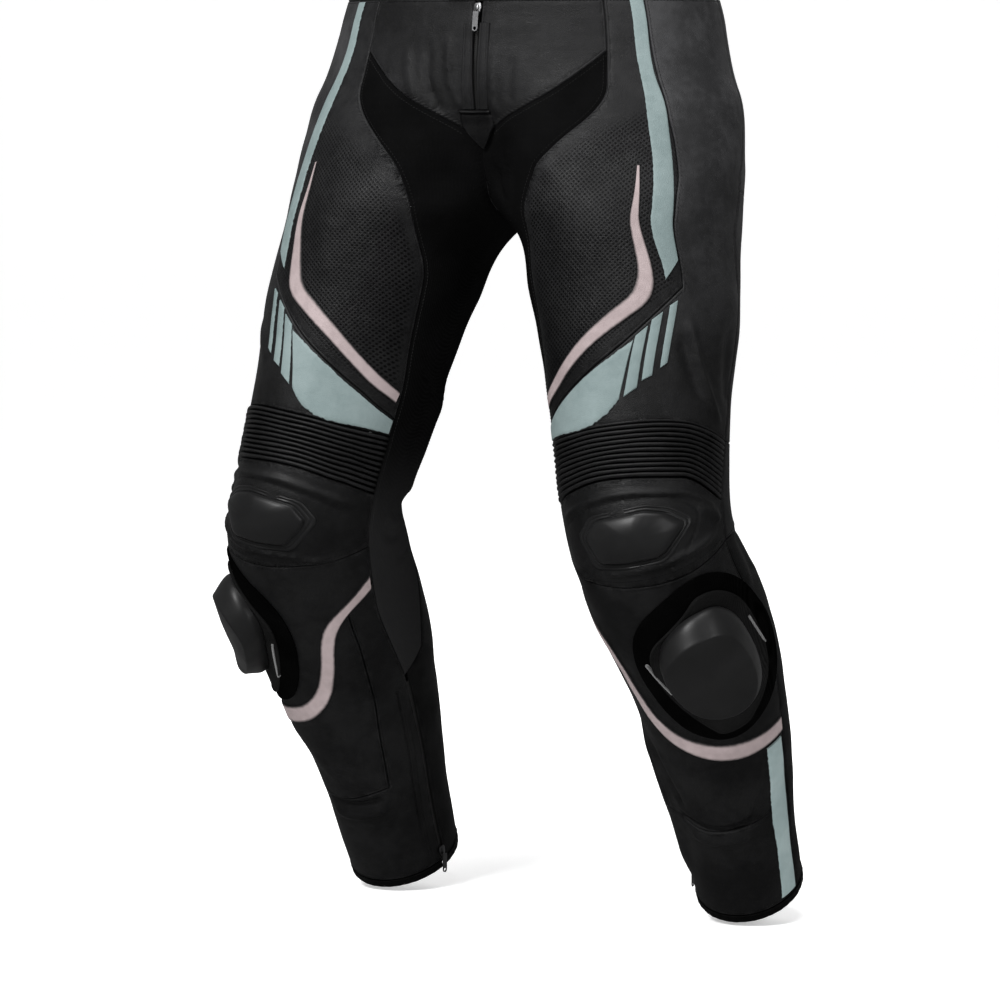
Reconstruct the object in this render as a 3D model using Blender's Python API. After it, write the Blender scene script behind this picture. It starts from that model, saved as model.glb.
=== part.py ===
"""Leather racing trousers in their worn form: hips, two slightly bent legs, armoured knees and zipped calves.

+Z is up, the wearer faces -Y and the wearer's left is +X. The origin is the middle of the waist opening.
Every size below is in millimetres or degrees; solid() writes the meshes in metres.
"""

import math

import bmesh
import bpy
import numpy as np

MM = 0.001
WALL = 2.0  # leather with its lining, and the stretch cloth
SEAM_GAP = 0.3  # between two pieces sewn together
RIB_HEIGHT = 2.6
RIBS = 11
OVERLAY_LIFT = 0.9  # underside of a sewn-on piece above the panel that carries it
OVERLAY_WALL = 1.0
BINDING_PROUD = 0.6  # how far the hem binding stands out on both faces of the leg
BAND_WALL = 3.0
BAND_CLEAR = 0.9  # the waistband leans, so its lower edge stops short of the panels
BAND_OVERLAP = 32.0  # the waistband's buttoned end past the centre front
CALF_ZIP_HALF = 2.6  # half the slot between the two leather edges at a calf zip
FLY_HALF = 3.4
TAPE_HALF = 10.0
TAPE_DEPTH = 3.8  # the zip tape's face under the leather's face
TAPE_WALL = 0.8
CHAIN_HALF = 2.0
CHAIN_START = 20.0  # the slot at a calf zip is too narrow for its teeth above this
TAB_LENGTH, TAB_WIDTH, TAB_WALL, TAB_HOLE = 20.0, 6.0, 1.2, 3.0

# A leg's cross-sections, each an ellipse with its own front and back half axes. drop is down from the waist;
# x and y are the section's centre; tilt leans its plane back, turn toes the leg out, and twist turns both
# legs the same way. The two legs meet where half_width passes x, and that closes the trunk.
SECTIONS = [
    # name,        drop,  x,    y, half_width, front, back, tilt, turn, twist
    ("waist",         0,   0,    0, 180, 112, 112,   0,  0,  0),
    ("high_hip",     70,   0,   -4, 202, 120, 124,   0,  0,  0),
    ("hip",         130,  14,  -13, 207, 125, 130,   0,  0,  0),
    ("low_hip",     180,  48,  -25, 183, 124, 130,  -3,  0,  0),
    ("crotch",      228,  94,  -39, 139, 119, 128,  -6,  0,  0),
    ("fork",        262, 121,  -50, 113, 116, 124,  -9,  0,  0),
    ("thigh",       330, 142,  -68, 102, 108, 114, -12,  4,  5),
    ("low_thigh",   410, 156,  -91,  90,  99, 102, -12,  8,  5),
    ("knee_top",    480, 168, -107,  84,  97,  90,  -4, 12,  3),
    ("knee",        540, 179, -114,  80, 103,  86,  10, 15,  2),
    ("under_knee",  600, 187,  -82,  81,  98,  84,  26, 18, -3),
    ("calf",        680, 194,  -21,  76,  89,  84,  34, 20, -7),
    ("shin",        770, 197,   27,  67,  76,  76,  34, 20, -7),
    ("ankle",       860, 197,   68,  58,  63,  64,  31, 20, -7),
    ("hem",         930, 196,  102,  54,  59,  58,  29, 20, -7),
]

# The front of the trunk lies back in its middle above the crotch: drop, and how far. The hollow is as wide as
# HOLLOW_REACH to each side.
HOLLOW = [(70, 0), (110, 6), (150, 17), (175, 27), (195, 32), (215, 32), (240, 22), (257, 5), (262, 0)]
HOLLOW_REACH = 55.0

# Where the seams run round a leg at each drop: 0 is its front, 90 its outside, 180 its back.
SEAM_LINES = [
    # drop, stretch, shin, middle, side_front, side_back, inner_back
    (0,       38,  42,  46, 52,  96, 150),
    (45,      38,  42,  46, 52,  96, 150),
    (111,     37,  41,  46, 53,  97, 160),
    (130,     35,  39,  45, 53,  97, 165),
    (154,     28,  35,  42, 53,  97, 173),
    (183,     15,  25,  34, 54,  97, 183),
    (213,     -2,  12,  26, 54,  96, 199),
    (238,    -17,   0,  17, 52,  96, 220),
    (262,    -33, -14,   8, 50,  95, 236),
    (300,    -49, -27,   0, 45.5, 94, 240),
    (335,    -57, -34,  -6, 42,  92, 241),
    (383,    -64, -40, -10, 42,  90, 240),
    (431,    -73, -48, -14, 40,  85, 238),
    (468,    -77, -52, -18, 37,  79, 234),
    (520,    -81, -58, -22, 33,  71, 224),
    (565,    -82, -62, -22, 32,  70, 215),
    (617,    -83, -64, -18, 31,  75, 208),
    (658,    -88, -67, -14, 30,  78, 211),
    (704,    -94, -67, -12, 30,  76, 214),
    (770,    -98, -64, -10, 30,  71, 216),
    (842,   -100, -61, -10, 30,  74, 216),
    (930,   -101, -60, -10, 30,  71, 216),
]
INSEAM = [(257, -90), (340, -94), (468, -101), (565, -106), (658, -112), (704, -118), (930, -122)]
COLUMNS = ["inner", "stretch", "shin", "middle", "side_front", "side_back", "inner_back", "back"]
COLUMN_STEPS = [4, 2, 2, 3, 3, 7, 3]

# The seams that cross a leg: the drop of each where it meets the lines above. steps is the number of rows of
# cells above it, sharp marks a seam that turns a corner at side_front, and APEX is where the legs part.
APEX = None
ROWS = [
    # name,      steps, sharp, inner, stretch, shin, middle, side_front, side_back, inner_back, back
    ("waist",       0, False,    0,    0,    0,    0,    0,    0,    0,    0),
    ("band",        1, False,   42,   42,   42,   42,   42,   42,   42,   42),
    ("yoke",        5, True,   186,   92,   94,   97,  100,  100,  112,  130),
    ("crotch",      6, True,  APEX,  262,  250,  240,  225,  225,  250, APEX),
    ("diagonal",    4, True,   440,  455,  436,  404,  328,  330,  400,  440),
    ("ribs_top",    2, False,  474,  470,  465,  457,  449,  460,  470,  474),
    ("ribs_end",    3, False,  521,  521,  508,  495,  491,  514,  520,  521),
    ("knee_seam",   3, False,  570,  565,  566,  565,  560,  549,  560,  570),
    ("shin_top",    1, False,  601,  595,  607,  594,  590,  582,  576,  601),
    ("zip_top",     3, False,  692,  704,  690,  680,  680,  680,  622,  692),
    ("shin_fold",   4, False,  815,  820,  813,  822,  820,  815,  815,  815),
    ("binding",     3, False,  922,  922,  922,  922,  922,  922,  922,  922),
    ("hem",         1, False,  930,  930,  930,  930,  930,  930,  930,  930),
]

# The pieces of a leg, as blocks of the net between those seams: top row, bottom row, first and last column.
PANELS = {
    "yoke_front": [("band", "yoke", "inner", "stretch")],
    "thigh_front": [("band", "diagonal", "stretch", "side_front")],
    "thigh_outer": [
        ("band", "ribs_top", "side_front", "side_back"),
        ("diagonal", "ribs_top", "stretch", "side_front"),
    ],
    "seat": [("band", "crotch", "side_back", "back")],
    "stretch_inner": [
        ("yoke", "zip_top", "inner", "stretch"),
        ("crotch", "zip_top", "inner_back", "back"),
    ],
    "thigh_back": [("crotch", "ribs_top", "side_back", "inner_back")],
    "knee_back": [("ribs_top", "knee_seam", "side_back", "inner_back")],
    "knee_panel": [("ribs_end", "knee_seam", "stretch", "side_back")],
    "shin_front": [
        ("knee_seam", "shin_top", "stretch", "side_back"),
        ("shin_top", "shin_fold", "shin", "side_back"),
    ],
    "shin_lower": [
        ("shin_top", "binding", "stretch", "shin"),
        ("shin_fold", "binding", "shin", "side_back"),
    ],
    "calf_back": [
        ("knee_seam", "binding", "side_back", "inner_back"),
        ("zip_top", "binding", "inner_back", "back"),
        ("zip_top", "binding", "inner", "stretch"),
    ],
}

# Coloured bands sewn on the panels: degrees and drop of one edge, then of the other, at each station.
BANDS = {
    "side_stripe": [
        (46.5, 44, 51.5, 44), (47, 80, 52, 80), (47, 111, 52, 111), (45.5, 150, 52.5, 150),
        (44, 200, 52, 200), (40.5, 240, 50.5, 240), (37, 268, 48.5, 268), (34.5, 292, 46, 290),
        (32.5, 324, 44, 303),
    ],
    "thigh_stripe": [
        (37.5, 208, 38.5, 208), (33, 236, 35.5, 236), (27, 266, 32, 266), (22, 296, 29, 298),
        (17, 324, 25.5, 332), (11, 341, 20, 348), (-2, 358, 8.5, 363), (-20, 381, -13, 388),
        (-36, 401, -31, 409), (-53, 418, -49, 427), (-71, 431, -71, 441),
    ],
    "thigh_flash": [
        (10, 384, -2, 436), (1, 395, -10, 445), (-10, 408, -20, 452), (-22, 420, -30, 457),
        (-34, 430, -41, 460), (-48, 441, -52, 462), (-60, 450, -63, 464), (-73, 459, -73.5, 466),
    ],
    "shin_band": [
        (-80, 588, -80, 600), (-67, 600, -63, 614), (-50, 615, -55, 627), (-43, 630, -51, 642),
        (-38, 655, -47, 664), (-31, 677, -40, 688), (-21, 693, -29, 707), (-8, 705, -14, 722),
        (10, 715, 6, 734), (30, 722, 27, 741), (50, 727, 49, 744), (72, 731, 71.5, 747),
    ],
    "shin_stripe": [
        (50, 747, 69, 750), (49, 785, 68.5, 786), (48, 825, 70, 825), (49, 866, 71, 866),
        (46, 918, 68.5, 918),
    ],
}
BAND_COLUMNS = {"thigh_flash": 4}

# Outlines of the moulded knee cup, the hook-and-loop pad, the slider's plate and its puck: degrees and drop.
CUP_OUTLINE = [(-45, 534), (-31, 519), (8, 510), (25, 512), (41, 522), (19, 547), (-12, 551), (-32, 553)]
PAD_OUTLINE = [
    (38, 563), (53, 567), (66, 579), (77, 603), (86, 630), (89, 655), (85, 680), (72, 695), (54, 706),
    (37, 713), (21, 713), (7, 706), (-8, 692), (-19, 669), (-25, 643), (-25, 622), (-20, 603), (-10, 589),
    (6, 577), (22, 567),
]
PLATE_OUTLINE = [
    (38, 576), (48, 579), (58, 590), (65, 607), (69, 630), (70, 655), (64, 676), (51, 690), (38, 699),
    (22, 700), (10, 690), (0, 673), (-9, 650), (-13, 625), (-8, 609), (6, 597), (20, 586), (29, 577),
]
PUCK_OUTLINE = [
    (30, 590), (40, 591), (49, 600), (55, 617), (58, 640), (57, 662), (51, 678), (40, 686), (27, 685),
    (14, 677), (5, 662), (-1, 643), (-4, 624), (-1, 611), (7, 601), (18, 593),
]
# Share of the outline's size, lift over the leather, and how far the ring has slid down the shin.
CUP_RINGS = [(1.0, 3.2, 0), (0.93, 5.6, 0), (0.78, 7.6, 0), (0.5, 8.4, 0), (0.25, 8.6, 0)]
PAD_RINGS = [(scale, 2.6, 0) for scale in (1.0, 0.84, 0.68, 0.52, 0.36, 0.18)]
PLATE_RINGS = [(scale, 5.1, 0) for scale in (1.0, 0.84, 0.68, 0.52, 0.36, 0.18)]
PUCK_RINGS = [  # its sides lean in more across the shin than along it
    ((1.0, 1.0), 8.0, 0), ((0.91, 0.98), 16.0, -1), ((0.8, 0.93), 23.5, -2), ((0.67, 0.84), 28.5, -3),
    ((0.42, 0.55), 30.5, -3), ((0.2, 0.27), 31.0, -3),
]
PATCH_LIFT = 1.45  # underside of the pad and of the knee cup
PLATE_LIFT = 3.8  # the plate's underside rests on the pad
PUCK_LIFT = 5.9

# Drop, half width, how far it leans to the wearer's left, and its lift.
FLAP = [
    (151, 17.5, 3, 0.9), (158, 17.5, 4, 0.9), (167, 16.5, 5.5, 1.6), (172, 14.5, 6.5, 2.8), (180, 10, 8.5, 3.9),
    (188, 4.5, 10, 3.8), (193, 1, 11, 3.2),
]
FLAP_WALL = 1.6
STRIP_TOP, STRIP_END = 66.0, 149.5  # the two leather strips that cover the fly zip
STRIP_INNER, STRIP_OUTER = 1.8, 14.0
FLY_SLIDER_DROP, CALF_SLIDER_DROP = 52.0, 912.0
SLIDER_LENGTH, SLIDER_HALF, SLIDER_LOW, SLIDER_HIGH = 11.0, 4.2, 0.7, 3.4
PIVOT_LIFT = SLIDER_HIGH + 0.95  # the tab's rounded root just clears the slider as it turns
PIVOT_AHEAD = 3.0
SNAP_RADIUS, SNAP_HEIGHT, SNAP_X, SNAP_DROP = 7.5, 2.6, -16.0, 21.0

COLOURS = {
    # material: colour, roughness, metallic
    "leather": ((0.018, 0.018, 0.019), 0.45, 0.0),
    "yoke_leather": ((0.035, 0.035, 0.036), 0.5, 0.0),
    "stretch": ((0.006, 0.006, 0.006), 0.9, 0.0),
    "grey_blue": ((0.27, 0.34, 0.34), 0.55, 0.0),
    "pale_pink": ((0.50, 0.41, 0.41), 0.55, 0.0),
    "moulded": ((0.015, 0.015, 0.016), 0.3, 0.0),
    "loop_pile": ((0.004, 0.004, 0.004), 1.0, 0.0),
    "zip": ((0.02, 0.02, 0.02), 0.4, 0.6),
    "metal": ((0.3, 0.3, 0.3), 0.35, 1.0),
}


def smooth(xs, ys, x):
    """A cubic curve through the points of a table, which stays level where the table turns back."""
    xs, ys = np.asarray(xs, float), np.asarray(ys, float)
    x = np.clip(np.asarray(x, float), xs[0], xs[-1])
    step = np.diff(xs)
    rise = np.diff(ys) / step
    slope = np.concatenate([rise[:1], rise[:-1], rise[-1:]])[: len(ys)]
    inner = (rise[:-1] * step[1:] + rise[1:] * step[:-1]) / (step[:-1] + step[1:])
    slope[1:-1] = np.where(rise[:-1] * rise[1:] <= 0, 0, inner)
    slope[-1] = rise[-1]
    i = np.clip(np.searchsorted(xs, x, side="right") - 1, 0, len(xs) - 2)
    t = (x - xs[i]) / step[i]
    return (
        (2 * t**3 - 3 * t**2 + 1) * ys[i]
        + (t**3 - 2 * t**2 + t) * step[i] * slope[i]
        + (3 * t**2 - 2 * t**3) * ys[i + 1]
        + (t**3 - t**2) * step[i] * slope[i + 1]
    )


def straight(xs, ys, x):
    return np.interp(x, xs, ys)


SECTION_TABLE = np.array([row[1:] for row in SECTIONS], float)
HOLLOW_TABLE = np.array(HOLLOW, float)
LINE_TABLE = np.array(SEAM_LINES, float)
INSEAM_TABLE = np.array(INSEAM, float)


def section(drop):
    return [smooth(SECTION_TABLE[:, 0], SECTION_TABLE[:, k], drop) for k in range(1, 9)]


def skin(side, angle, drop):
    """A point of the outer face. side is 1 on the wearer's left, -1 on the right."""
    x, y, half_width, front, back, tilt, turn, twist = section(drop)
    a = np.radians(angle)
    across = half_width * np.sin(a)
    along = -np.where(np.cos(a) > 0, front, back) * np.cos(a)
    turned = np.radians(turn + side * twist)
    across, along = (
        across * np.cos(turned) - along * np.sin(turned),
        across * np.sin(turned) + along * np.cos(turned),
    )
    hollow = smooth(HOLLOW_TABLE[:, 0], HOLLOW_TABLE[:, 1], drop) * np.clip(np.cos(a), 0, 1)
    y = y + hollow * np.exp(-(((x + across) / HOLLOW_REACH) ** 2))
    leaned = np.radians(tilt)
    return np.stack([side * (x + across), y + along * np.cos(leaned), along * np.sin(leaned) - drop], -1)


def outward(side, angle, drop):
    """The outer face's unit normal."""
    round_leg = skin(side, angle + 0.5, drop) - skin(side, angle - 0.5, drop)
    down_leg = skin(side, angle, drop + 0.5) - skin(side, angle, drop - 0.5)
    normal = np.cross(down_leg, round_leg) * side
    return normal / np.linalg.norm(normal, axis=-1, keepdims=True)


def lifted(side, angle, drop, lift):
    angle, drop = np.asarray(angle, float), np.asarray(drop, float)
    return skin(side, angle, drop) + outward(side, angle, drop) * np.asarray(lift, float)[..., None]


def beside(side, angle, drop, across, lift):
    """A point so many millimetres round the leg from a line on it."""
    one_degree = np.linalg.norm(skin(side, angle + 0.5, drop) - skin(side, angle - 0.5, drop), axis=-1)
    return lifted(side, angle + across / one_degree, drop, lift)


def centre_front(drop):
    """The angle at which a leg's section meets the middle of the trunk."""
    x, _, half_width = section(drop)[:3]
    return -np.degrees(np.arcsin(np.minimum(1, x / half_width)))


def find_apex():
    low, high = 228.0, 262.0
    while high - low > 1e-4:
        middle = (low + high) / 2
        x, _, half_width = section(middle)[:3]
        low, high = (middle, high) if x < half_width else (low, middle)
    return low


APEX = find_apex()


def line_angle(column, drop):
    """The angle of a named line at a drop."""
    if column in ("inner", "back"):
        above = centre_front(drop)
        below = smooth(INSEAM_TABLE[:, 0], INSEAM_TABLE[:, 1], drop)
        angle = np.where(drop < APEX - 0.01, above, np.minimum(below, -90))
        if column == "inner":
            return angle
        return np.where(drop < APEX - 0.01, 180 - angle, 360 + angle)
    return smooth(LINE_TABLE[:, 0], LINE_TABLE[:, COLUMNS.index(column)], drop)


COLUMN_AT = dict(zip(COLUMNS, np.cumsum([0] + COLUMN_STEPS)))
ROW_AT = dict(zip([row[0] for row in ROWS], np.cumsum([row[1] for row in ROWS])))
LAST = COLUMN_AT["back"]


def row_drops(row):
    """The drops of a named seam at every column of the net."""
    named = [APEX if value is None else value for value in row[3:]]
    cuts = ["inner", "stretch", "side_back", "back"]
    if row[2]:
        cuts.insert(2, "side_front")
    drops = np.zeros(LAST + 1)
    for first, last in zip(cuts, cuts[1:]):
        a, b = COLUMNS.index(first), COLUMNS.index(last)
        at = [COLUMN_AT[name] for name in COLUMNS[a : b + 1]]
        columns = np.arange(at[0], at[-1] + 1)
        run = smooth if b > a + 1 else straight
        drops[columns] = run(at, named[a : b + 1], columns)
    return drops


def column_angles(drops):
    """The angle of every column of the net, each at its own drop."""
    angles = np.zeros(LAST + 1)
    for first, last in zip(COLUMNS, COLUMNS[1:]):
        for j in range(COLUMN_AT[first], COLUMN_AT[last] + 1):
            share = (j - COLUMN_AT[first]) / (COLUMN_AT[last] - COLUMN_AT[first])
            angles[j] = (1 - share) * line_angle(first, drops[j]) + share * line_angle(last, drops[j])
    return angles


def net():
    """The drop and the angle of each knot of the net of seams and rows."""
    drops = [row_drops(ROWS[0])]
    for above, below in zip(ROWS, ROWS[1:]):
        top, bottom = row_drops(above), row_drops(below)
        for k in range(1, below[1] + 1):
            share = k / below[1]
            if below[0] == "crotch":
                share = math.sin(share * math.pi / 2)  # closer rows where the trunk closes
            drops.append(top + (bottom - top) * share)
    drops = np.array(drops)
    return drops, np.array([column_angles(row) for row in drops])


DROPS, ANGLES = net()


def knot(i, j):
    """Below the crotch the net closes on itself at the inseam."""
    return (i, 0) if j == LAST and i >= ROW_AT["crotch"] else (i, j)


def block_cells(blocks):
    cells = []
    for top, bottom, first, last in blocks:
        for i in range(ROW_AT[top], ROW_AT[bottom]):
            cells += [(i, j) for j in range(COLUMN_AT[first], COLUMN_AT[last])]
    return cells


def corners_of(cell):
    i, j = cell
    return [knot(i, j), knot(i, j + 1), knot(i + 1, j + 1), knot(i + 1, j)]


def seam_gap(a, b):
    """Half the gap along the edge between two knots: wider where a zip shows."""
    (i0, j0), (i1, j1) = a, b
    if j0 == j1 == COLUMN_AT["stretch"] and min(i0, i1) >= ROW_AT["zip_top"]:
        return CALF_ZIP_HALF
    if j0 == j1 == 0 and max(i0, i1) <= ROW_AT["yoke"]:
        return FLY_HALF
    return SEAM_GAP / 2


def drawn_in(points, normals, quads, gap_of):
    """Moves the knots on a piece's edge into the piece, so that it stands clear of its neighbours."""
    uses = {}
    for quad in quads:
        for a, b in zip(quad, quad[1:] + quad[:1]):
            uses.setdefault(frozenset((a, b)), []).append(quad)
    inward = {}
    for edge, owners in uses.items():
        if len(owners) > 1 or len(edge) < 2:
            continue
        a, b = sorted(edge)
        middle = (points[a] + points[b]) / 2
        towards = np.mean([points[k] for k in owners[0]], axis=0) - middle
        for k in (a, b):
            direction = np.cross(normals[k], points[b] - points[a])
            direction /= np.linalg.norm(direction)
            direction *= np.sign(direction @ towards)
            inward.setdefault(k, []).append((direction, gap_of(a, b)))
    moved = dict(points)
    for k, sides in inward.items():
        (n1, g1), (n2, g2) = sides[0], sides[-1]
        c = n1 @ n2
        if c > 0.95:
            shift = (n1 + n2) / np.linalg.norm(n1 + n2) * (g1 + g2) / 2
        else:
            shift = (n1 * (g1 - c * g2) + n2 * (g2 - c * g1)) / (1 - c * c)
        moved[k] = points[k] + shift
    return moved


def solid(name, vertices, faces, material):
    """An object from points in millimetres, with its faces turned outward."""
    mesh = bpy.data.meshes.new(name)
    mesh.from_pydata([tuple(np.asarray(v, float) * MM) for v in vertices], [], faces)
    obj = bpy.data.objects.new(name, mesh)
    bpy.context.scene.collection.objects.link(obj)
    body = bmesh.new()
    body.from_mesh(mesh)
    bmesh.ops.recalc_face_normals(body, faces=body.faces)
    bmesh.ops.triangulate(body, faces=[f for f in body.faces if len(f.verts) > 4])
    body.to_mesh(mesh)
    body.free()
    mesh.shade_smooth()
    mesh.set_sharp_from_angle(angle=math.radians(40))
    mesh.materials.append(MATERIALS[material])
    return obj


def shell(name, outer, inner, quads, material):
    """A closed wall between two faces with the same knots."""
    keys = sorted({k for quad in quads for k in quad})
    at = {k: n for n, k in enumerate(keys)}
    count = len(keys)
    vertices = [outer[k] for k in keys] + [inner[k] for k in keys]
    faces, edges = [], {}
    for quad in quads:
        ring = [at[k] for k in quad]
        faces.append(ring)
        faces.append([n + count for n in reversed(ring)])
        for a, b in zip(ring, ring[1:] + ring[:1]):
            edges.setdefault(frozenset((a, b)), []).append((a, b))
    for owners in edges.values():
        if len(owners) == 1:
            a, b = sorted(owners[0])  # neighbours split their side walls alike, so that these don't cross
            faces += [[a, b, b + count], [a, b + count, a + count]]
    return solid(name, vertices, faces, material)


def offset(points, normals, lift):
    return {k: points[k] + normals[k] * (lift[k] if isinstance(lift, dict) else lift) for k in points}


def leg_knots(side, cells):
    keys = sorted({k for cell in cells for k in corners_of(cell)})
    i, j = np.array(keys).T
    points = skin(side, ANGLES[i, j], DROPS[i, j])
    normals = outward(side, ANGLES[i, j], DROPS[i, j])
    return dict(zip(keys, points)), dict(zip(keys, normals))


def panel(name, side, blocks, material):
    cells = block_cells(blocks)
    points, normals = leg_knots(side, cells)
    quads = [corners_of(cell) for cell in cells]
    points = drawn_in(points, normals, quads, seam_gap)
    return shell(name, points, offset(points, normals, -WALL), quads, material)


def grid_quads(rows, columns):
    return [
        [(i, j), (i, j + 1), (i + 1, j + 1), (i + 1, j)] for i in range(rows - 1) for j in range(columns - 1)
    ]


def accordion(name, side):
    """Ribs raised in the outer face, over a plain inner face."""
    top, end = ROW_AT["ribs_top"], ROW_AT["ribs_end"]
    first, last = COLUMN_AT["stretch"], COLUMN_AT["side_back"]
    rows = 2 * RIBS + 1
    points, normals, lift = {}, {}, {}
    for i in range(rows):
        share = i / (rows - 1)
        drops = DROPS[top] + (DROPS[end] - DROPS[top]) * share
        angles = column_angles(drops)
        for j in range(first, last + 1):
            points[i, j - first] = skin(side, angles[j], drops[j])
            normals[i, j - first] = outward(side, angles[j], drops[j])
            lift[i, j - first] = RIB_HEIGHT if i % 2 else 0.0
    quads = grid_quads(rows, last - first + 1)
    points = drawn_in(points, normals, quads, lambda a, b: SEAM_GAP / 2)
    return shell(name, offset(points, normals, lift), offset(points, normals, -WALL), quads, "leather")


def band(name, side, stations, material, columns=2):
    """A strip sewn on the leg, between two edges."""
    points, normals = {}, {}
    for i, (angle_a, drop_a, angle_b, drop_b) in enumerate(stations):
        for j in range(columns + 1):
            share = j / columns
            angle = angle_a + (angle_b - angle_a) * share
            drop = drop_a + (drop_b - drop_a) * share
            points[i, j] = skin(side, angle, drop)
            normals[i, j] = outward(side, angle, drop)
    quads = grid_quads(len(stations), columns + 1)
    low = offset(points, normals, OVERLAY_LIFT)
    return shell(name, offset(points, normals, OVERLAY_LIFT + OVERLAY_WALL), low, quads, material)


def denser(stations, parts):
    """More stations on straight lines between the given ones."""
    found = [stations[0]]
    for a, b in zip(stations, stations[1:]):
        for k in range(1, parts + 1):
            found.append(tuple(np.add(np.multiply(a, 1 - k / parts), np.multiply(b, k / parts))))
    return found


def raised_patch(name, side, outline, rings, low, material):
    """A piece that lies on the leg: an outline, rings inside it at their own lifts, and a plain underside."""
    outline = np.array(outline, float)
    centre = (outline.min(axis=0) + outline.max(axis=0)) / 2
    count = len(outline)
    vertices, faces = [], []

    def ring(scale, lift, slide):
        at = centre + (outline - centre) * scale
        vertices.extend(lifted(side, at[:, 0], at[:, 1] + slide, np.full(count, lift)))

    for scale, lift, slide in rings:
        ring(scale, lift, slide)
    top_centre = len(vertices)
    vertices.append(lifted(side, centre[0], centre[1] + rings[-1][2], rings[-1][1]))
    first_low = len(vertices)
    for scale, _, _ in rings:
        ring(scale, low, 0)
    low_centre = len(vertices)
    vertices.append(lifted(side, *centre, low))
    for start, middle in ((0, top_centre), (first_low, low_centre)):
        for r in range(len(rings)):
            for k in range(count):
                a, b = start + r * count + k, start + r * count + (k + 1) % count
                if r + 1 < len(rings):
                    faces.append([a, b, b + count, a + count])
                else:
                    faces.append([a, b, middle])
    for k in range(count):
        faces.append([k, (k + 1) % count, first_low + (k + 1) % count, first_low + k])
    return solid(name, vertices, faces, material)


def rounded(outline):
    """Each straight edge of an outline in two."""
    points = np.array(outline, float)
    middles = (points + np.roll(points, -1, axis=0)) / 2
    return [tuple(p) for pair in zip(points, middles) for p in pair]


def swept(name, loops, material):
    """A solid from equal closed loops of points, with both ends filled."""
    count = len(loops[0])
    vertices = [p for loop in loops for p in loop]
    faces = [list(range(count)), [(len(loops) - 1) * count + k for k in reversed(range(count))]]
    for r in range(len(loops) - 1):
        for k in range(count):
            a, b = r * count + k, r * count + (k + 1) % count
            faces.append([b, a, a + count, b + count])
    return solid(name, vertices, faces, material)


# Across and lift of each corner of a zip: the tape under the leather, the chain up between its edges.
ZIP_PROFILE = [
    (-TAPE_HALF, -TAPE_DEPTH - TAPE_WALL), (0, -TAPE_DEPTH - TAPE_WALL), (TAPE_HALF, -TAPE_DEPTH - TAPE_WALL),
    (TAPE_HALF, -TAPE_DEPTH), (CHAIN_HALF, -TAPE_DEPTH), (CHAIN_HALF, 0),
    (-CHAIN_HALF, 0), (-CHAIN_HALF, -TAPE_DEPTH), (-TAPE_HALF, -TAPE_DEPTH),
]


def calf_zip(name, side):
    loops = []
    top = DROPS[ROW_AT["zip_top"], COLUMN_AT["stretch"]] + 2
    for drop in [top, top + CHAIN_START - 2, top + CHAIN_START, *np.linspace(top + CHAIN_START + 16, 926, 9)]:
        angle = line_angle("stretch", drop)
        sunk = TAPE_DEPTH - 0.3 if drop < top + CHAIN_START else 0.0
        loops.append([beside(side, angle, drop, across, lift - (sunk if lift == 0 else 0.0))
                      for across, lift in ZIP_PROFILE])
    return swept(name, loops, "zip")


def fly_point(x, drop, lift):
    """A point on the front of the trunk, beside its middle."""
    at = beside(1, centre_front(drop), drop, abs(x), lift)
    return np.array([x, at[1], at[2]])


def fly_strip(name, side):
    stations = np.linspace(STRIP_TOP, STRIP_END, 7)
    points = {}
    for i, drop in enumerate(stations):
        for j, x in enumerate((STRIP_INNER, (STRIP_INNER + STRIP_OUTER) / 2, STRIP_OUTER)):
            points[i, j] = (side * x, drop)
    top = {k: fly_point(*v, OVERLAY_LIFT + OVERLAY_WALL) for k, v in points.items()}
    low = {k: fly_point(*v, OVERLAY_LIFT) for k, v in points.items()}
    return shell(name, top, low, grid_quads(len(stations), 3), "yoke_leather")


def fly_flap(name):
    shares = np.linspace(-1, 1, 9)
    top, low = {}, {}
    for i, (drop, half, lean, lift) in enumerate(FLAP):
        for j, share in enumerate(shares):
            top[i, j] = fly_point(half * share + lean, drop, lift + FLAP_WALL)
            low[i, j] = fly_point(half * share + lean, drop, lift)
    return shell(name, top, low, grid_quads(len(FLAP), len(shares)), "yoke_leather")


def block_on(name, frame, size, low, high, material):
    """A small bevelled block: frame gives its middle, its across, along and outward directions."""
    middle, across, along, out = frame
    half, length = size
    bevel = 0.8
    loops = []
    for lift, inset in ((low, 0.0), (high - bevel, 0.0), (high, bevel)):
        corners = [(-1, -1), (1, -1), (1, 1), (-1, 1)]
        loops.append([middle + across * a * (half - inset) + along * b * (length / 2 - inset) + out * lift
                      for a, b in corners])
    return swept(name, loops, material)


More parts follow.
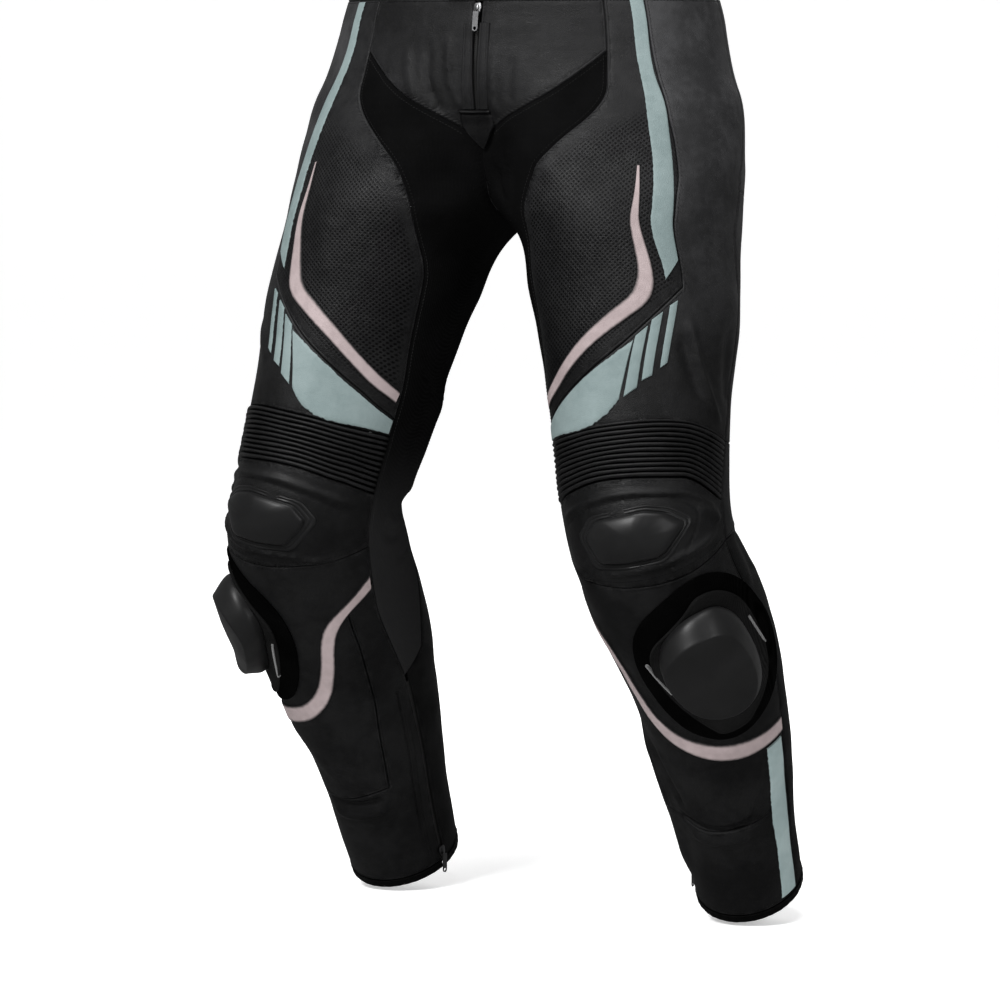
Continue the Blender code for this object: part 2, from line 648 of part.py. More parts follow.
def pull_tab(name, pivot, across, down, out):
    """A flat tab with a round hole at its free end. Its object's origin is on the hinge axis."""
    steps = 8
    half = TAB_WIDTH / 2
    end = TAB_LENGTH - half
    outer = [(-half, -TAB_WALL / 2), (half, -TAB_WALL / 2)]
    outer += [(half * math.cos(a), end + half * math.sin(a)) for a in np.linspace(0, math.pi, steps + 1)]
    turns = np.linspace(0, 2 * math.pi, steps, endpoint=False)
    hole = [(TAB_HOLE / 2 * math.cos(a), end + TAB_HOLE / 2 * math.sin(a)) for a in turns]
    tab_points = [np.array(across) * x + np.array(down) * d for x, d in outer]
    hole_points = [np.array(across) * x + np.array(down) * d for x, d in hole]
    faces = (-TAB_WALL / 2, TAB_WALL / 2)
    obj = swept(name, [[p + out * lift for p in tab_points] for lift in faces], "metal")
    obj.location = tuple(np.asarray(pivot) * MM)
    ends = (-TAB_WALL, TAB_WALL)
    cutter = swept(name + "_hole", [[p + out * lift for p in hole_points] for lift in ends], "metal")
    cutter.location = obj.location
    cutter.hide_render = True
    cutter.display_type = "WIRE"
    cut = obj.modifiers.new("hole", "BOOLEAN")
    cut.operation = "DIFFERENCE"
    cut.solver = "EXACT"
    cut.object = cutter
    return obj


def unit(vector):
    return vector / np.linalg.norm(vector)


def calf_frame(side, drop):
    """Middle, across, along and outward directions of a calf zip at a drop."""
    angle = line_angle("stretch", drop)
    middle = skin(side, angle, drop)
    out = outward(side, angle, drop)
    ahead = skin(side, line_angle("stretch", drop + 2), drop + 2)
    along = unit(ahead - middle)
    return middle, unit(np.cross(along, out)), along, out


def fly_frame(drop):
    middle, ahead = fly_point(0, drop, 0), fly_point(0, drop + 2, 0)
    along = unit(ahead - middle)
    across = np.array([1.0, 0.0, 0.0])
    return middle, across, along, unit(np.cross(along, across))


def calf_closure(side, mark):
    calf_zip(f"calf_zip_{mark}", side)
    frame = calf_frame(side, CALF_SLIDER_DROP)
    middle, across, along, out = frame
    block_on(f"calf_slider_{mark}", frame, (SLIDER_HALF, SLIDER_LENGTH), SLIDER_LOW, SLIDER_HIGH, "metal")
    down = np.array([0.0, 0.0, -1.0])
    flat_out = unit(out - down * (out @ down))
    pivot = middle + along * PIVOT_AHEAD + out * PIVOT_LIFT
    pull_tab(f"calf_pull_{mark}", pivot, unit(np.cross(down, flat_out)), down, flat_out)


def fly_closure():
    loops = [[fly_point(x, drop, lift) for x, lift in ZIP_PROFILE] for drop in np.linspace(44, 156, 9)]
    swept("fly_zip", loops, "zip")
    frame = fly_frame(FLY_SLIDER_DROP)
    middle, across, along, out = frame
    block_on("fly_slider", frame, (SLIDER_HALF, SLIDER_LENGTH), SLIDER_LOW, SLIDER_HIGH, "metal")
    pull_tab("fly_pull", middle + along * PIVOT_AHEAD + out * PIVOT_LIFT, across, along, out)
    fly_strip("fly_strip_L", 1)
    fly_strip("fly_strip_R", -1)
    fly_flap("fly_flap")


def waistband():
    """One strip round the waist, from under the centre front to its buttoned end over it."""
    turns = [(-1, a) for a in np.linspace(1.0, 180, 22)] + [(1, a) for a in np.linspace(180, 12, 20)[1:]]
    one_degree = 2 * math.pi * SECTIONS[0][4] / 360
    stations = [(side, angle, 0.5) for side, angle in turns]
    over = BAND_WALL + 0.5 + 0.4
    stations += [(1, 8.0, 0.5 + over * 0.4), (1, 4.0, 0.5 + over), (1, 0.0, 0.5 + over)]
    stations += [(-1, share * BAND_OVERLAP / one_degree, 0.5 + over) for share in (0.5, 1.0)]
    top, low = {}, {}
    height = ROWS[1][3]
    for i, (side, angle, lift) in enumerate(stations):
        for j, drop in enumerate((0.0, height / 2, height - BAND_CLEAR)):
            top[i, j] = lifted(side, angle, drop, lift)
            low[i, j] = lifted(side, angle, drop, lift - BAND_WALL)
    shell("waistband", top, low, grid_quads(len(stations), 3), "yoke_leather")
    middle = lifted(-1, -SNAP_X / one_degree, SNAP_DROP, 0.5 + over + 0.3)
    out = outward(-1, -SNAP_X / one_degree, SNAP_DROP)
    across = unit(np.cross(out, np.array([0.0, 0.0, 1.0])))
    up = np.cross(across, out)
    turn = np.linspace(0, 2 * math.pi, 16, endpoint=False)
    profile = ((SNAP_RADIUS, 0.0), (SNAP_RADIUS, SNAP_HEIGHT * 0.6), (SNAP_RADIUS * 0.8, SNAP_HEIGHT))
    loops = []
    for radius, lift in profile:
        loops.append([middle + (across * math.cos(a) + up * math.sin(a)) * radius + out * lift for a in turn])
    swept("waist_snap", loops, "metal")


def hem_binding(name, side):
    """The folded strip round the bottom edge, open at the calf zip."""
    top, hem = ROW_AT["binding"], ROW_AT["hem"]
    start = COLUMN_AT["stretch"]
    order = list(range(start, LAST)) + list(range(0, start + 1))
    outer, inner = {}, {}
    for n, j in enumerate(order):
        for i, row in enumerate((top, hem)):
            angle, drop = ANGLES[row, j], DROPS[row, j]
            clear = CALF_ZIP_HALF if n == 0 else -CALF_ZIP_HALF if n == len(order) - 1 else 0.0
            drop = drop + (SEAM_GAP / 2 if i == 0 else 0.0)
            outer[i, n] = beside(side, angle, drop, clear, BINDING_PROUD)
            inner[i, n] = beside(side, angle, drop, clear, -WALL - BINDING_PROUD)
    return shell(name, outer, inner, grid_quads(2, len(order)), "yoke_leather")


def clear_scene():
    for obj in list(bpy.data.objects):
        bpy.data.objects.remove(obj)


def material(name, colour, roughness, metallic):
    made = bpy.data.materials.new(name)
    made.use_nodes = True
    shader = made.node_tree.nodes["Principled BSDF"]
    shader.inputs["Base Color"].default_value = (*colour, 1)
    shader.inputs["Roughness"].default_value = roughness
    shader.inputs["Metallic"].default_value = metallic
    made.diffuse_color = (*colour, 1)
    return made


PANEL_MATERIAL = {"yoke_front": "yoke_leather", "stretch_inner": "stretch"}
BAND_MATERIAL = {
    "side_stripe": "grey_blue",
    "thigh_flash": "grey_blue",
    "shin_stripe": "grey_blue",
    "thigh_stripe": "pale_pink",
    "shin_band": "pale_pink",
}


def leg(side, mark):
    for name, blocks in PANELS.items():
        panel(f"{name}_{mark}", side, blocks, PANEL_MATERIAL.get(name, "leather"))
    accordion(f"accordion_{mark}", side)
    for name, stations in BANDS.items():
        columns = BAND_COLUMNS.get(name, 2)
        band(f"{name}_{mark}", side, denser(stations, 2), BAND_MATERIAL[name], columns)
    raised_patch(f"knee_cup_{mark}", side, rounded(CUP_OUTLINE), CUP_RINGS, PATCH_LIFT, "moulded")
    raised_patch(f"slider_pad_{mark}", side, PAD_OUTLINE, PAD_RINGS, PATCH_LIFT, "loop_pile")
    raised_patch(f"slider_plate_{mark}", side, PLATE_OUTLINE, PLATE_RINGS, PLATE_LIFT, "moulded")
    raised_patch(f"knee_slider_{mark}", side, PUCK_OUTLINE, PUCK_RINGS, PUCK_LIFT, "moulded")
    hem_binding(f"hem_binding_{mark}", side)
    calf_closure(side, mark)


clear_scene()
MATERIALS = {name: material(name, *finish) for name, finish in COLOURS.items()}
leg(1, "L")
leg(-1, "R")
waistband()
fly_closure()
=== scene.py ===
"""The looks of the leather racing trousers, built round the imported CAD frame.

Sizes are in millimetres and degrees, as in the part's source, and build() turns them into metres. A place on a
leg is an angle round it (0 in front, 90 outside, 180 behind) and a drop from the waist. side is 1 on the
wearer's left and -1 on the right.
"""

import math

import bmesh
import bpy
import numpy as np
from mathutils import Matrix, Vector
from mathutils.geometry import delaunay_2d_cdt
from mathutils.kdtree import KDTree


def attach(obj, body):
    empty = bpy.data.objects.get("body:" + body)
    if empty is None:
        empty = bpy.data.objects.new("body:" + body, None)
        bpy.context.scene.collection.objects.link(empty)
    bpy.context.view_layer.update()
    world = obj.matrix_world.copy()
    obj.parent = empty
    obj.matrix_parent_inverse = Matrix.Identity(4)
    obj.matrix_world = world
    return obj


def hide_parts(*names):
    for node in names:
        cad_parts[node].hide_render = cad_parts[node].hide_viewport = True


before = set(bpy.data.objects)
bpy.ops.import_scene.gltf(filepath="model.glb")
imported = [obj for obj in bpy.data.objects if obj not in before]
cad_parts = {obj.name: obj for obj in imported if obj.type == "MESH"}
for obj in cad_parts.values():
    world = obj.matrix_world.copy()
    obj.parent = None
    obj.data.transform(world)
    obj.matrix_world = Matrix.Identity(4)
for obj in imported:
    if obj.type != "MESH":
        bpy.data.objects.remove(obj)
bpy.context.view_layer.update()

MM = 0.001
MARKS = {1: "L", -1: "R"}
WALL, SEAM_GAP = 2.0, 0.3
CALF_ZIP_HALF, FLY_HALF = 2.6, 3.4  # half the gap in the leather beside each zip's chain
RIBS, RIB_ROWS, RIB_COLUMNS = 11, 8, 75
RIB_HEIGHT, RIB_FOOT, RIB_CLEAR = 2.6, -1.3, 0.2
# The size of the triangles along a panel's edge, inside it, on the knee panel, and on a panel's inner face.
PITCH, INNER_PITCH, KNEE_PITCH, HIDDEN_PITCH = 4.6, 3.6, 2.0, 9.0
FINE_STEP, FOLD_STEP = 0.25, 2.0  # of the tables that sections are read from, and along a fold's line
NARROW = 4.0  # a fold narrower than this gets finer triangles
SLENDER = 0.32  # a piece that fills less of its rectangle is cut as a strip of its mean width
EDGE_CLEAR = 0.8  # between the rings along an edge and the triangles inside them
FAR = 20.0  # the distance from an edge that is given to places which nothing rubs
STITCH_INSET, STITCH_LIFT, STITCH_SUNK = 2.7, 0.1, -0.3  # STITCH_SUNK: in the groove along an edge
STITCH_PITCH, STITCH_LENGTH, STITCH_HALF, STITCH_RISE, STITCH_DEPTH = 3.3, 2.3, 0.33, 0.42, 0.2
YOKE_STITCHES, CLOTH_STITCHES = 4.0, 3.4  # how far the stretch cloth's stitches lie from its seams
BAND_LOW = -0.3  # the underside of a sewn-on band, sunk in the leather
BAND_STEP, TAPE_STEP = 4.0, 4.0  # between the cross-sections of a band and of a zip's tape
TAG_WIDTH = 2.8
WAIST_WALL, WAIST_LAP, WAIST_OVERLAP = 3.0, 0.35, 32.0
WAIST_LIFT, WAIST_STAND = 0.5, 0.9  # the band over the yoke, and its upper end over its lower one
SNAP_X, SNAP_DROP = -16.0, 21.0
TAPE_HALF, TOOTH_PITCH = 10.0, 1.9
FLY_TOP, FLY_END, CALF_ZIP_END = 44.0, 156.0, 926.0
STRIP_TOP, STRIP_END, STRIP_INNER, STRIP_OUTER, STRIP_LOW, STRIP_ROWS = 66.0, 149.5, 2.6, 14.0, 0.1, 30
FLY_SLIDER_DROP, CALF_SLIDER_DROP = 52.0, 912.0
SLIDER_LENGTH, SLIDER_HALF, SLIDER_LOW, SLIDER_HIGH = 11.0, 4.2, 0.7, 3.4
PIVOT_LIFT, PIVOT_AHEAD = SLIDER_HIGH + 0.95, 3.0
TAB_LENGTH, TAB_WIDTH, TAB_WALL, TAB_HOLE, TAB_BEVEL = 20.0, 6.0, 1.2, 3.0, 0.25
# The tongue below the fly: drop, half width, how far it leans to the wearer's left, and its lift.
FLAP = [
    (151, 16.3, -1, 0.9), (158, 17, 0, 0.9), (165, 17.6, 1, 1.4), (170, 17, 1.6, 2.3), (179, 11.5, 2.8, 3.4),
    (188, 5.2, 3.8, 3.5), (193, 1.6, 4.4, 3.2),
]

# A leg's cross-sections and its seams, as in the part's source.
SECTIONS = np.array([
    # drop,  x,    y, half_width, front, back, tilt, turn, twist
    (0,      0,    0, 180, 112, 112,   0,  0,  0),
    (70,     0,   -4, 202, 120, 124,   0,  0,  0),
    (130,   14,  -13, 207, 125, 130,   0,  0,  0),
    (180,   48,  -25, 183, 124, 130,  -3,  0,  0),
    (228,   94,  -39, 139, 119, 128,  -6,  0,  0),
    (262,  121,  -50, 113, 116, 124,  -9,  0,  0),
    (330,  142,  -68, 102, 108, 114, -12,  4,  5),
    (410,  156,  -91,  90,  99, 102, -12,  8,  5),
    (480,  168, -107,  84,  97,  90,  -4, 12,  3),
    (540,  179, -114,  80, 103,  86,  10, 15,  2),
    (600,  187,  -82,  81,  98,  84,  26, 18, -3),
    (680,  194,  -21,  76,  89,  84,  34, 20, -7),
    (770,  197,   27,  67,  76,  76,  34, 20, -7),
    (860,  197,   68,  58,  63,  64,  31, 20, -7),
    (930,  196,  102,  54,  59,  58,  29, 20, -7),
], float)
# The hollow in the middle of the trunk's front: drop and depth.
HOLLOW = np.array([
    (70, 0), (110, 6), (150, 17), (175, 27), (195, 32), (215, 32), (240, 22), (257, 5), (262, 0),
], float)
HOLLOW_REACH = 55.0
SEAM_LINES = np.array([
    # drop, stretch, shin, middle, side_front, side_back, inner_back
    (0,       38,  42,  46, 52,  96, 150),
    (45,      38,  42,  46, 52,  96, 150),
    (111,     37,  41,  46, 53,  97, 160),
    (130,     35,  39,  45, 53,  97, 165),
    (154,     28,  35,  42, 53,  97, 173),
    (183,     15,  25,  34, 54,  97, 183),
    (213,     -2,  12,  26, 54,  96, 199),
    (238,    -17,   0,  17, 52,  96, 220),
    (262,    -33, -14,   8, 50,  95, 236),
    (300,    -49, -27,   0, 45.5, 94, 240),
    (335,    -57, -34,  -6, 42,  92, 241),
    (383,    -64, -40, -10, 42,  90, 240),
    (431,    -73, -48, -14, 40,  85, 238),
    (468,    -77, -52, -18, 37,  79, 234),
    (520,    -81, -58, -22, 33,  71, 224),
    (565,    -82, -62, -22, 32,  70, 215),
    (617,    -83, -64, -18, 31,  75, 208),
    (658,    -88, -67, -14, 30,  78, 211),
    (704,    -94, -67, -12, 30,  76, 214),
    (770,    -98, -64, -10, 30,  71, 216),
    (842,   -100, -61, -10, 30,  74, 216),
    (930,   -101, -60, -10, 30,  71, 216),
], float)
INSEAM = np.array([
    (257, -90), (340, -94), (468, -101), (565, -106), (658, -112), (704, -118), (930, -122),
], float)
COLUMNS = ["inner", "stretch", "shin", "middle", "side_front", "side_back", "inner_back", "back"]
COLUMN_STEPS = [4, 2, 2, 3, 3, 7, 3]
APEX = None
ROWS = {
    # name:      sharp, inner, stretch, shin, middle, side_front, side_back, inner_back, back
    "band":      (False,   42,   42,   42,   42,   42,   42,   42,   42),
    "yoke":      (True,   186,   92,   94,   97,  100,  100,  112,  130),
    "crotch":    (True,  APEX,  262,  250,  240,  225,  225,  250, APEX),
    "diagonal":  (True,   440,  455,  436,  404,  328,  330,  400,  440),
    "ribs_top":  (False,  474,  470,  465,  457,  449,  460,  470,  474),
    "ribs_end":  (False,  521,  521,  508,  495,  491,  514,  520,  521),
    "knee_seam": (False,  570,  565,  566,  565,  560,  549,  560,  570),
    "shin_top":  (False,  601,  595,  607,  594,  590,  582,  576,  601),
    "zip_top":   (False,  692,  704,  690,  680,  680,  680,  622,  692),
    "shin_fold": (False,  815,  820,  813,  822,  820,  815,  815,  815),
    "binding":   (False,  922,  922,  922,  922,  922,  922,  922,  922),
}
HEM = 930.0
# The corners of each panel going round it, where named rows and columns of seams meet. A number after them is
# added to the angle of a corner that lies past the inseam.
PANELS = {
    "yoke_front": "band inner, band stretch, yoke stretch, yoke inner",
    "thigh_front": "band stretch, band side_front, diagonal side_front, diagonal stretch",
    "thigh_outer": "band side_front, band side_back, ribs_top side_back, ribs_top stretch, diagonal stretch, "
                   "diagonal side_front",
    "seat": "band side_back, band back, crotch back, crotch side_back",
    "stretch_inner": "yoke inner, yoke stretch, zip_top stretch, zip_top inner, zip_top back -360, "
                     "zip_top inner_back -360, crotch inner_back -360, crotch back -360, crotch inner",
    "thigh_back": "crotch side_back, crotch inner_back, ribs_top inner_back, ribs_top side_back",
    "knee_back": "ribs_top side_back, ribs_top inner_back, knee_seam inner_back, knee_seam side_back",
    "knee_panel": "ribs_end stretch, ribs_end side_back, knee_seam side_back, knee_seam stretch",
    "shin_front": "knee_seam stretch, knee_seam side_back, shin_fold side_back, shin_fold shin, shin_top shin, "
                  "shin_top stretch",
    "shin_lower": "shin_top stretch, shin_top shin, shin_fold shin, shin_fold side_back, binding side_back, "
                  "binding stretch",
    "calf_back": "knee_seam side_back, knee_seam inner_back, zip_top inner_back, zip_top back, zip_top inner 360, "
                 "zip_top stretch 360, binding stretch 360, binding inner 360, binding back, binding side_back",
}
# Bands sewn on the leather: angle and drop of both edges, down each band.
BANDS = {
    "side_stripe": [
        (46.5, 44, 51.5, 44), (47, 80, 52, 80), (47, 111, 52, 111), (45.5, 150, 52.5, 150),
        (44, 200, 52, 200), (40.5, 240, 50.5, 240), (37, 268, 48.5, 268), (34.5, 292, 46, 290),
        (32.5, 324, 44, 303),
    ],
    "thigh_stripe": [
        (37.5, 208, 38.5, 208), (33, 236, 35.5, 236), (27, 266, 32, 266), (22, 296, 29, 298),
        (17, 324, 25.5, 332), (11, 341, 20, 348), (-2, 358, 8.5, 363), (-20, 381, -13, 388),
        (-36, 401, -31, 409), (-53, 418, -49, 427), (-71, 431, -71, 441),
    ],
    "thigh_flash": [
        (11, 381, -2, 436), (1, 392, -10, 447), (-10, 404, -20, 455), (-22, 416, -30, 459.5),
        (-34, 427, -41, 462), (-48, 438, -52, 463.5), (-60, 447, -63, 465.5), (-74.5, 456, -75, 468),
    ],
    "shin_band": [
        (-80, 588, -80, 600), (-67, 600, -63, 614), (-50, 615, -55, 627), (-43, 630, -51, 642),
        (-38, 655, -47, 664), (-31, 677, -40, 688), (-21, 693, -29, 707), (-8, 705, -14, 722),
        (10, 715, 6, 734), (30, 722, 27, 741), (50, 727, 49, 744), (72, 731, 71.5, 747),
    ],
    "shin_stripe": [
        (50, 747, 69, 750), (49, 785, 68.5, 786), (48, 825, 70, 825), (49, 866, 71, 866),
        (46, 918, 68.5, 918),
    ],
}
BARS = [
    # angle and drop of the upper edge's ends, then of the lower edge's
    ((12, 378), (20, 367), (1, 433), (10, 424)),
    ((22, 362), (29, 353), (13, 418), (20, 412)),
    ((33, 347), (38, 341), (25, 405), (30, 399)),
]
# Outlines of the knee's hard pieces: angles and drops.
CUP_OUTLINE = [(-45, 534), (-31, 519), (8, 510), (25, 512), (41, 522), (19, 547), (-12, 551), (-32, 553)]
PAD_OUTLINE = [
    (38, 563), (53, 567), (66, 579), (77, 603), (86, 630), (89, 655), (85, 680), (72, 695), (54, 706),
    (37, 713), (21, 713), (7, 706), (-8, 692), (-19, 669), (-25, 643), (-25, 622), (-20, 603), (-10, 589),
    (6, 577), (22, 567),
]
PLATE_OUTLINE = [
    (38, 576), (48, 579), (58, 590), (65, 607), (69, 630), (70, 655), (64, 676), (52, 690), (43, 698),
    (38, 703), (18, 704), (12, 695), (0, 673), (-9, 650), (-13, 625), (-8, 609), (6, 597), (20, 586), (29, 577),
]
PUCK_OUTLINE = [
    (30, 590), (40, 591), (49, 600), (55, 617), (58, 640), (57, 662), (51, 678), (40, 686), (27, 685),
    (14, 677), (5, 662), (-1, 643), (-4, 624), (-1, 611), (7, 601), (18, 593),
]

# Folds and grooves: on which legs, the places that the line runs through, its half width and its height.
FOLDS = [
    # the pressed fold across the shin, and the softer ones round it
    ("L", [(-44, 805), (-40, 811), (-25, 815), (-8, 818), (11, 819), (27, 814), (45, 802)], 4.4, -4.8),
    ("L", [(-40, 826), (-18, 832), (10, 833), (36, 824)], 6.5, 3.6),
    ("L", [(-57, 724), (-50, 755), (-43, 782), (-38, 805)], 6.0, -2.6),
    ("L", [(-48, 728), (-40, 760), (-34, 786)], 5.0, 1.4),
    ("L", [(49, 764), (40, 792), (28, 812)], 5.5, -1.6),
    ("L", [(-20, 868), (8, 872), (34, 866)], 8.0, -1.2),
    ("R", [(7, 827), (-15, 828), (-37, 827), (-60, 822)], 4.6, -5.0),
    ("R", [(10, 842), (-15, 843), (-40, 841), (-62, 833)], 6.0, 4.0),
    ("R", [(0, 866), (-33, 862), (-66, 855)], 7.0, -1.4),
    ("R", [(12, 772), (-14, 792), (-40, 800)], 9.0, 1.6),
    ("R", [(-72, 700), (-62, 712), (-46, 716)], 6.0, 1.4),
    ("R", [(-76, 724), (-64, 742), (-50, 750)], 6.0, -1.4),
    # wrinkles at the inner knee and inner thigh
    ("LR", [(-96, 545), (-108, 556), (-122, 560)], 6.0, 2.2),
    ("LR", [(-94, 560), (-106, 571), (-120, 574)], 5.0, -2.2),
    ("R", [(-104, 590), (-118, 595), (-134, 597)], 5.0, -1.8),
    ("R", [(-82, 408), (-93, 416), (-108, 432)], 5.0, -1.4),
    ("L", [(-84, 404), (-96, 412), (-112, 426)], 5.0, -1.4),
    # the crotch
    ("L", [(-3, 170), (-7, 188), (-13, 205), (-23, 226), (-32, 244), (-41, 258)], 3.6, 0.9),
    ("L", [(-20, 204), (-30, 222), (-37, 236), (-42, 250)], 5.5, -3.4),
    ("R", [(-14, 186), (-30, 206), (-44, 224), (-58, 240)], 10.0, -3.4),
    ("R", [(-30, 190), (-50, 214), (-80, 240)], 9.0, 2.0),
    ("L", [(-8, 200), (-28, 222), (-60, 240)], 9.0, -2.2),
    # beside the fly
    ("R", [(9, 70), (6, 110), (1, 136), (-5, 156)], 4.2, 3.4),
    ("R", [(15, 76), (12, 115), (6, 140), (0, 158)], 4.4, -3.2),
    ("R", [(22, 84), (18, 116), (11, 142)], 5.0, 2.4),
    ("L", [(6, 82), (2, 124), (0, 140), (-2, 160)], 4.2, 2.6),
    ("L", [(11, 92), (7, 126), (5, 144)], 5.0, -2.0),
    # the thighs
    ("L", [(45, 352), (46, 370), (54, 405), (62, 427), (76, 452)], 6.0, 3.6),
    ("L", [(40, 366), (45, 400), (53, 432)], 10.0, -3.0),
    ("L", [(76, 350), (78, 395), (82, 430)], 10.0, -2.0),
    ("R", [(58, 366), (44, 392), (26, 414)], 9.0, 1.8),
    ("R", [(26, 110), (24, 140), (16, 174), (2, 216)], 12.0, 2.2),
    ("R", [(6, 268), (5, 300), (0, 340)], 14.0, 1.8),
    ("L", [(2, 150), (0, 190), (4, 240)], 12.0, 1.6),
    # the calf and the inner knee stand out behind the slider
    ("R", [(-112, 400), (-120, 445), (-127, 485), (-130, 520), (-130, 548)], 20.0, 8.0),
    ("R", [(34, 640), (28, 690), (25, 730), (24, 790)], 24.0, 5.0),
    ("L", [(-67, 708), (-69, 780), (-70, 845), (-68, 908)], 17.0, 6.5),
    ("L", [(98, 548), (98, 580), (98, 612)], 22.0, -5.0),
    # the back of the seat, the knees and the calves
    ("LR", [(112, 268), (140, 284), (175, 288), (212, 272)], 8.0, -2.8),
    ("LR", [(116, 286), (145, 303), (180, 306), (208, 292)], 9.0, 2.2),
    ("LR", [(178, 232), (160, 214), (138, 178), (126, 140)], 12.0, 2.4),
    ("LR", [(172, 246), (150, 230), (122, 204), (104, 184)], 10.0, -2.2),
    ("LR", [(110, 498), (142, 508), (185, 510), (226, 500)], 8.0, 2.6),
    ("LR", [(106, 520), (140, 531), (186, 533), (230, 522)], 6.0, -3.6),
    ("LR", [(112, 541), (144, 551), (184, 552), (224, 543)], 7.0, 3.0),
    ("LR", [(108, 563), (142, 572), (182, 573), (226, 563)], 6.0, -3.2),
    ("LR", [(116, 588), (148, 598), (190, 596)], 8.0, 2.0),
    ("LR", [(124, 640), (146, 690), (160, 752)], 15.0, 2.2),
    ("LR", [(196, 650), (206, 700), (204, 760)], 13.0, -2.0),
    ("LR", [(100, 836), (134, 850), (176, 852), (214, 842)], 7.0, -2.6),
    ("LR", [(104, 856), (138, 869), (178, 870), (210, 862)], 8.0, 2.0),
    ("LR", [(112, 884), (150, 893), (196, 888)], 7.0, -1.6),
    ("LR", [(118, 386), (146, 398), (186, 396)], 10.0, -1.8),
    ("LR", [(112, 440), (146, 449), (190, 446)], 8.0, 1.8),
    # rolls of leather round the knee cup
    ("LR", [(-76, 532), (-54, 520), (-20, 506), (10, 502), (33, 502), (52, 510), (70, 524)], 4.2, 2.6),
    ("LR", [(44, 514), (60, 522), (64, 532)], 7.0, 3.0),
    ("LR", [(-74, 566), (-49, 564), (-30, 557), (7, 551), (36, 545), (52, 540), (64, 533)], 3.8, 2.8),
]
# Grooves pressed or stitched into the leather, in the same form.
GROOVES = [
    ("LR", [(-80, 556), (-62, 560), (-22, 558), (32, 551), (68, 541)], 1.6, -1.1),
    ("LR", [(-76, 541), (-58, 528), (-30, 513), (8, 505), (28, 506), (46, 519), (24, 552), (-14, 556),
            (-40, 558)], 1.8, -1.1),
    ("LR", [(-82.5, 712), (-85.5, 722), (-85.5, 770), (-84, 842), (-83, 914)], 1.6, -1.5),
    ("LR", [(-86, 712), (-89.5, 722), (-89.5, 770), (-88, 842), (-87, 914)], 2.2, 0.9),
]
# More stitched lines: the places that each runs through.
SEWN_LINES = [
    [(-80, 559), (-62, 563), (-22, 561), (32, 554), (68, 544)],
    [(-83.5, 712), (-87.4, 723), (-87.4, 770), (-86, 842), (-85, 912)],
    [(-86.5, 711), (-90.7, 721), (-90.7, 770), (-89.2, 842), (-88.4, 914)],
]
TAGS = {
    # upper and lower end of each tag at the edge of a slider's plate
    "L": [((63, 615), (70, 649)), ((-15, 624), (-5, 651))],
    "R": [((-9, 629), (0, 671))],
}

def smooth(xs, ys, x):
    """A cubic curve through the points of a table, which stays level where the table turns back."""
    xs, ys = np.asarray(xs, float), np.asarray(ys, float)
    x = np.clip(np.asarray(x, float), xs[0], xs[-1])
    step = np.diff(xs)
    rise = np.diff(ys) / step
    slope = np.concatenate([rise[:1], rise[:-1], rise[-1:]])[: len(ys)]
    inner = (rise[:-1] * step[1:] + rise[1:] * step[:-1]) / (step[:-1] + step[1:])
    slope[1:-1] = np.where(rise[:-1] * rise[1:] <= 0, 0, inner)
    slope[-1] = rise[-1]
    i = np.clip(np.searchsorted(xs, x, side="right") - 1, 0, len(xs) - 2)
    t = (x - xs[i]) / step[i]
    return (
        (2 * t**3 - 3 * t**2 + 1) * ys[i]
        + (t**3 - 2 * t**2 + t) * step[i] * slope[i]
        + (3 * t**2 - 2 * t**3) * ys[i + 1]
        + (t**3 - t**2) * step[i] * slope[i + 1]
    )


def read(table, drop, column=1):
    return smooth(table[:, 0], table[:, column], drop)


FINE_DROPS = np.arange(0.0, SECTIONS[-1, 0] + FINE_STEP, FINE_STEP)
FINE_SECTIONS = [read(SECTIONS, FINE_DROPS, k) for k in range(1, 9)]


def section(drop):
    return [np.interp(drop, FINE_DROPS, values) for values in FINE_SECTIONS]


def unit(vector):
    return vector / np.linalg.norm(vector, axis=-1, keepdims=True)


def run_of(points):
    """How far along a line each of its points lies."""
    return np.concatenate([[0], np.cumsum(np.linalg.norm(np.diff(points, axis=0), axis=1))])


def skin(side, angle, drop):
    """A point of the garment's outer face before its folds."""
    x, y, half_width, front, back, tilt, turn, twist = section(drop)
    a = np.radians(angle)
    across = half_width * np.sin(a)
    along = -np.where(np.cos(a) > 0, front, back) * np.cos(a)
    turned = np.radians(turn + side * twist)
    across, along = (
        across * np.cos(turned) - along * np.sin(turned),
        across * np.sin(turned) + along * np.cos(turned),
    )
    hollow = read(HOLLOW, drop) * np.clip(np.cos(a), 0, 1)
    y = y + hollow * np.exp(-(((x + across) / HOLLOW_REACH) ** 2))
    leaned = np.radians(tilt)
    return np.stack([side * (x + across), y + along * np.cos(leaned), along * np.sin(leaned) - drop], -1)


def steps_of(side, angle, drop):
    """How far one degree and one millimetre of drop reach, as vectors."""
    one_degree = skin(side, angle + 0.5, drop) - skin(side, angle - 0.5, drop)
    one_drop = skin(side, angle, drop + 0.5) - skin(side, angle, drop - 0.5)
    return one_degree, one_drop


def outward(side, angle, drop):
    one_degree, one_drop = steps_of(side, angle, drop)
    return unit(np.cross(one_drop, one_degree) * side)


def mm_per_degree(drop):
    _, _, half_width, front, back = section(drop)[:5]
    return (half_width + (front + back) / 2) / 2 * math.pi / 180


def centre_front(drop):
    """The angle at which a leg's section meets the middle of the trunk."""
    x, _, half_width = section(drop)[:3]
    return -np.degrees(np.arcsin(np.minimum(1, x / half_width)))


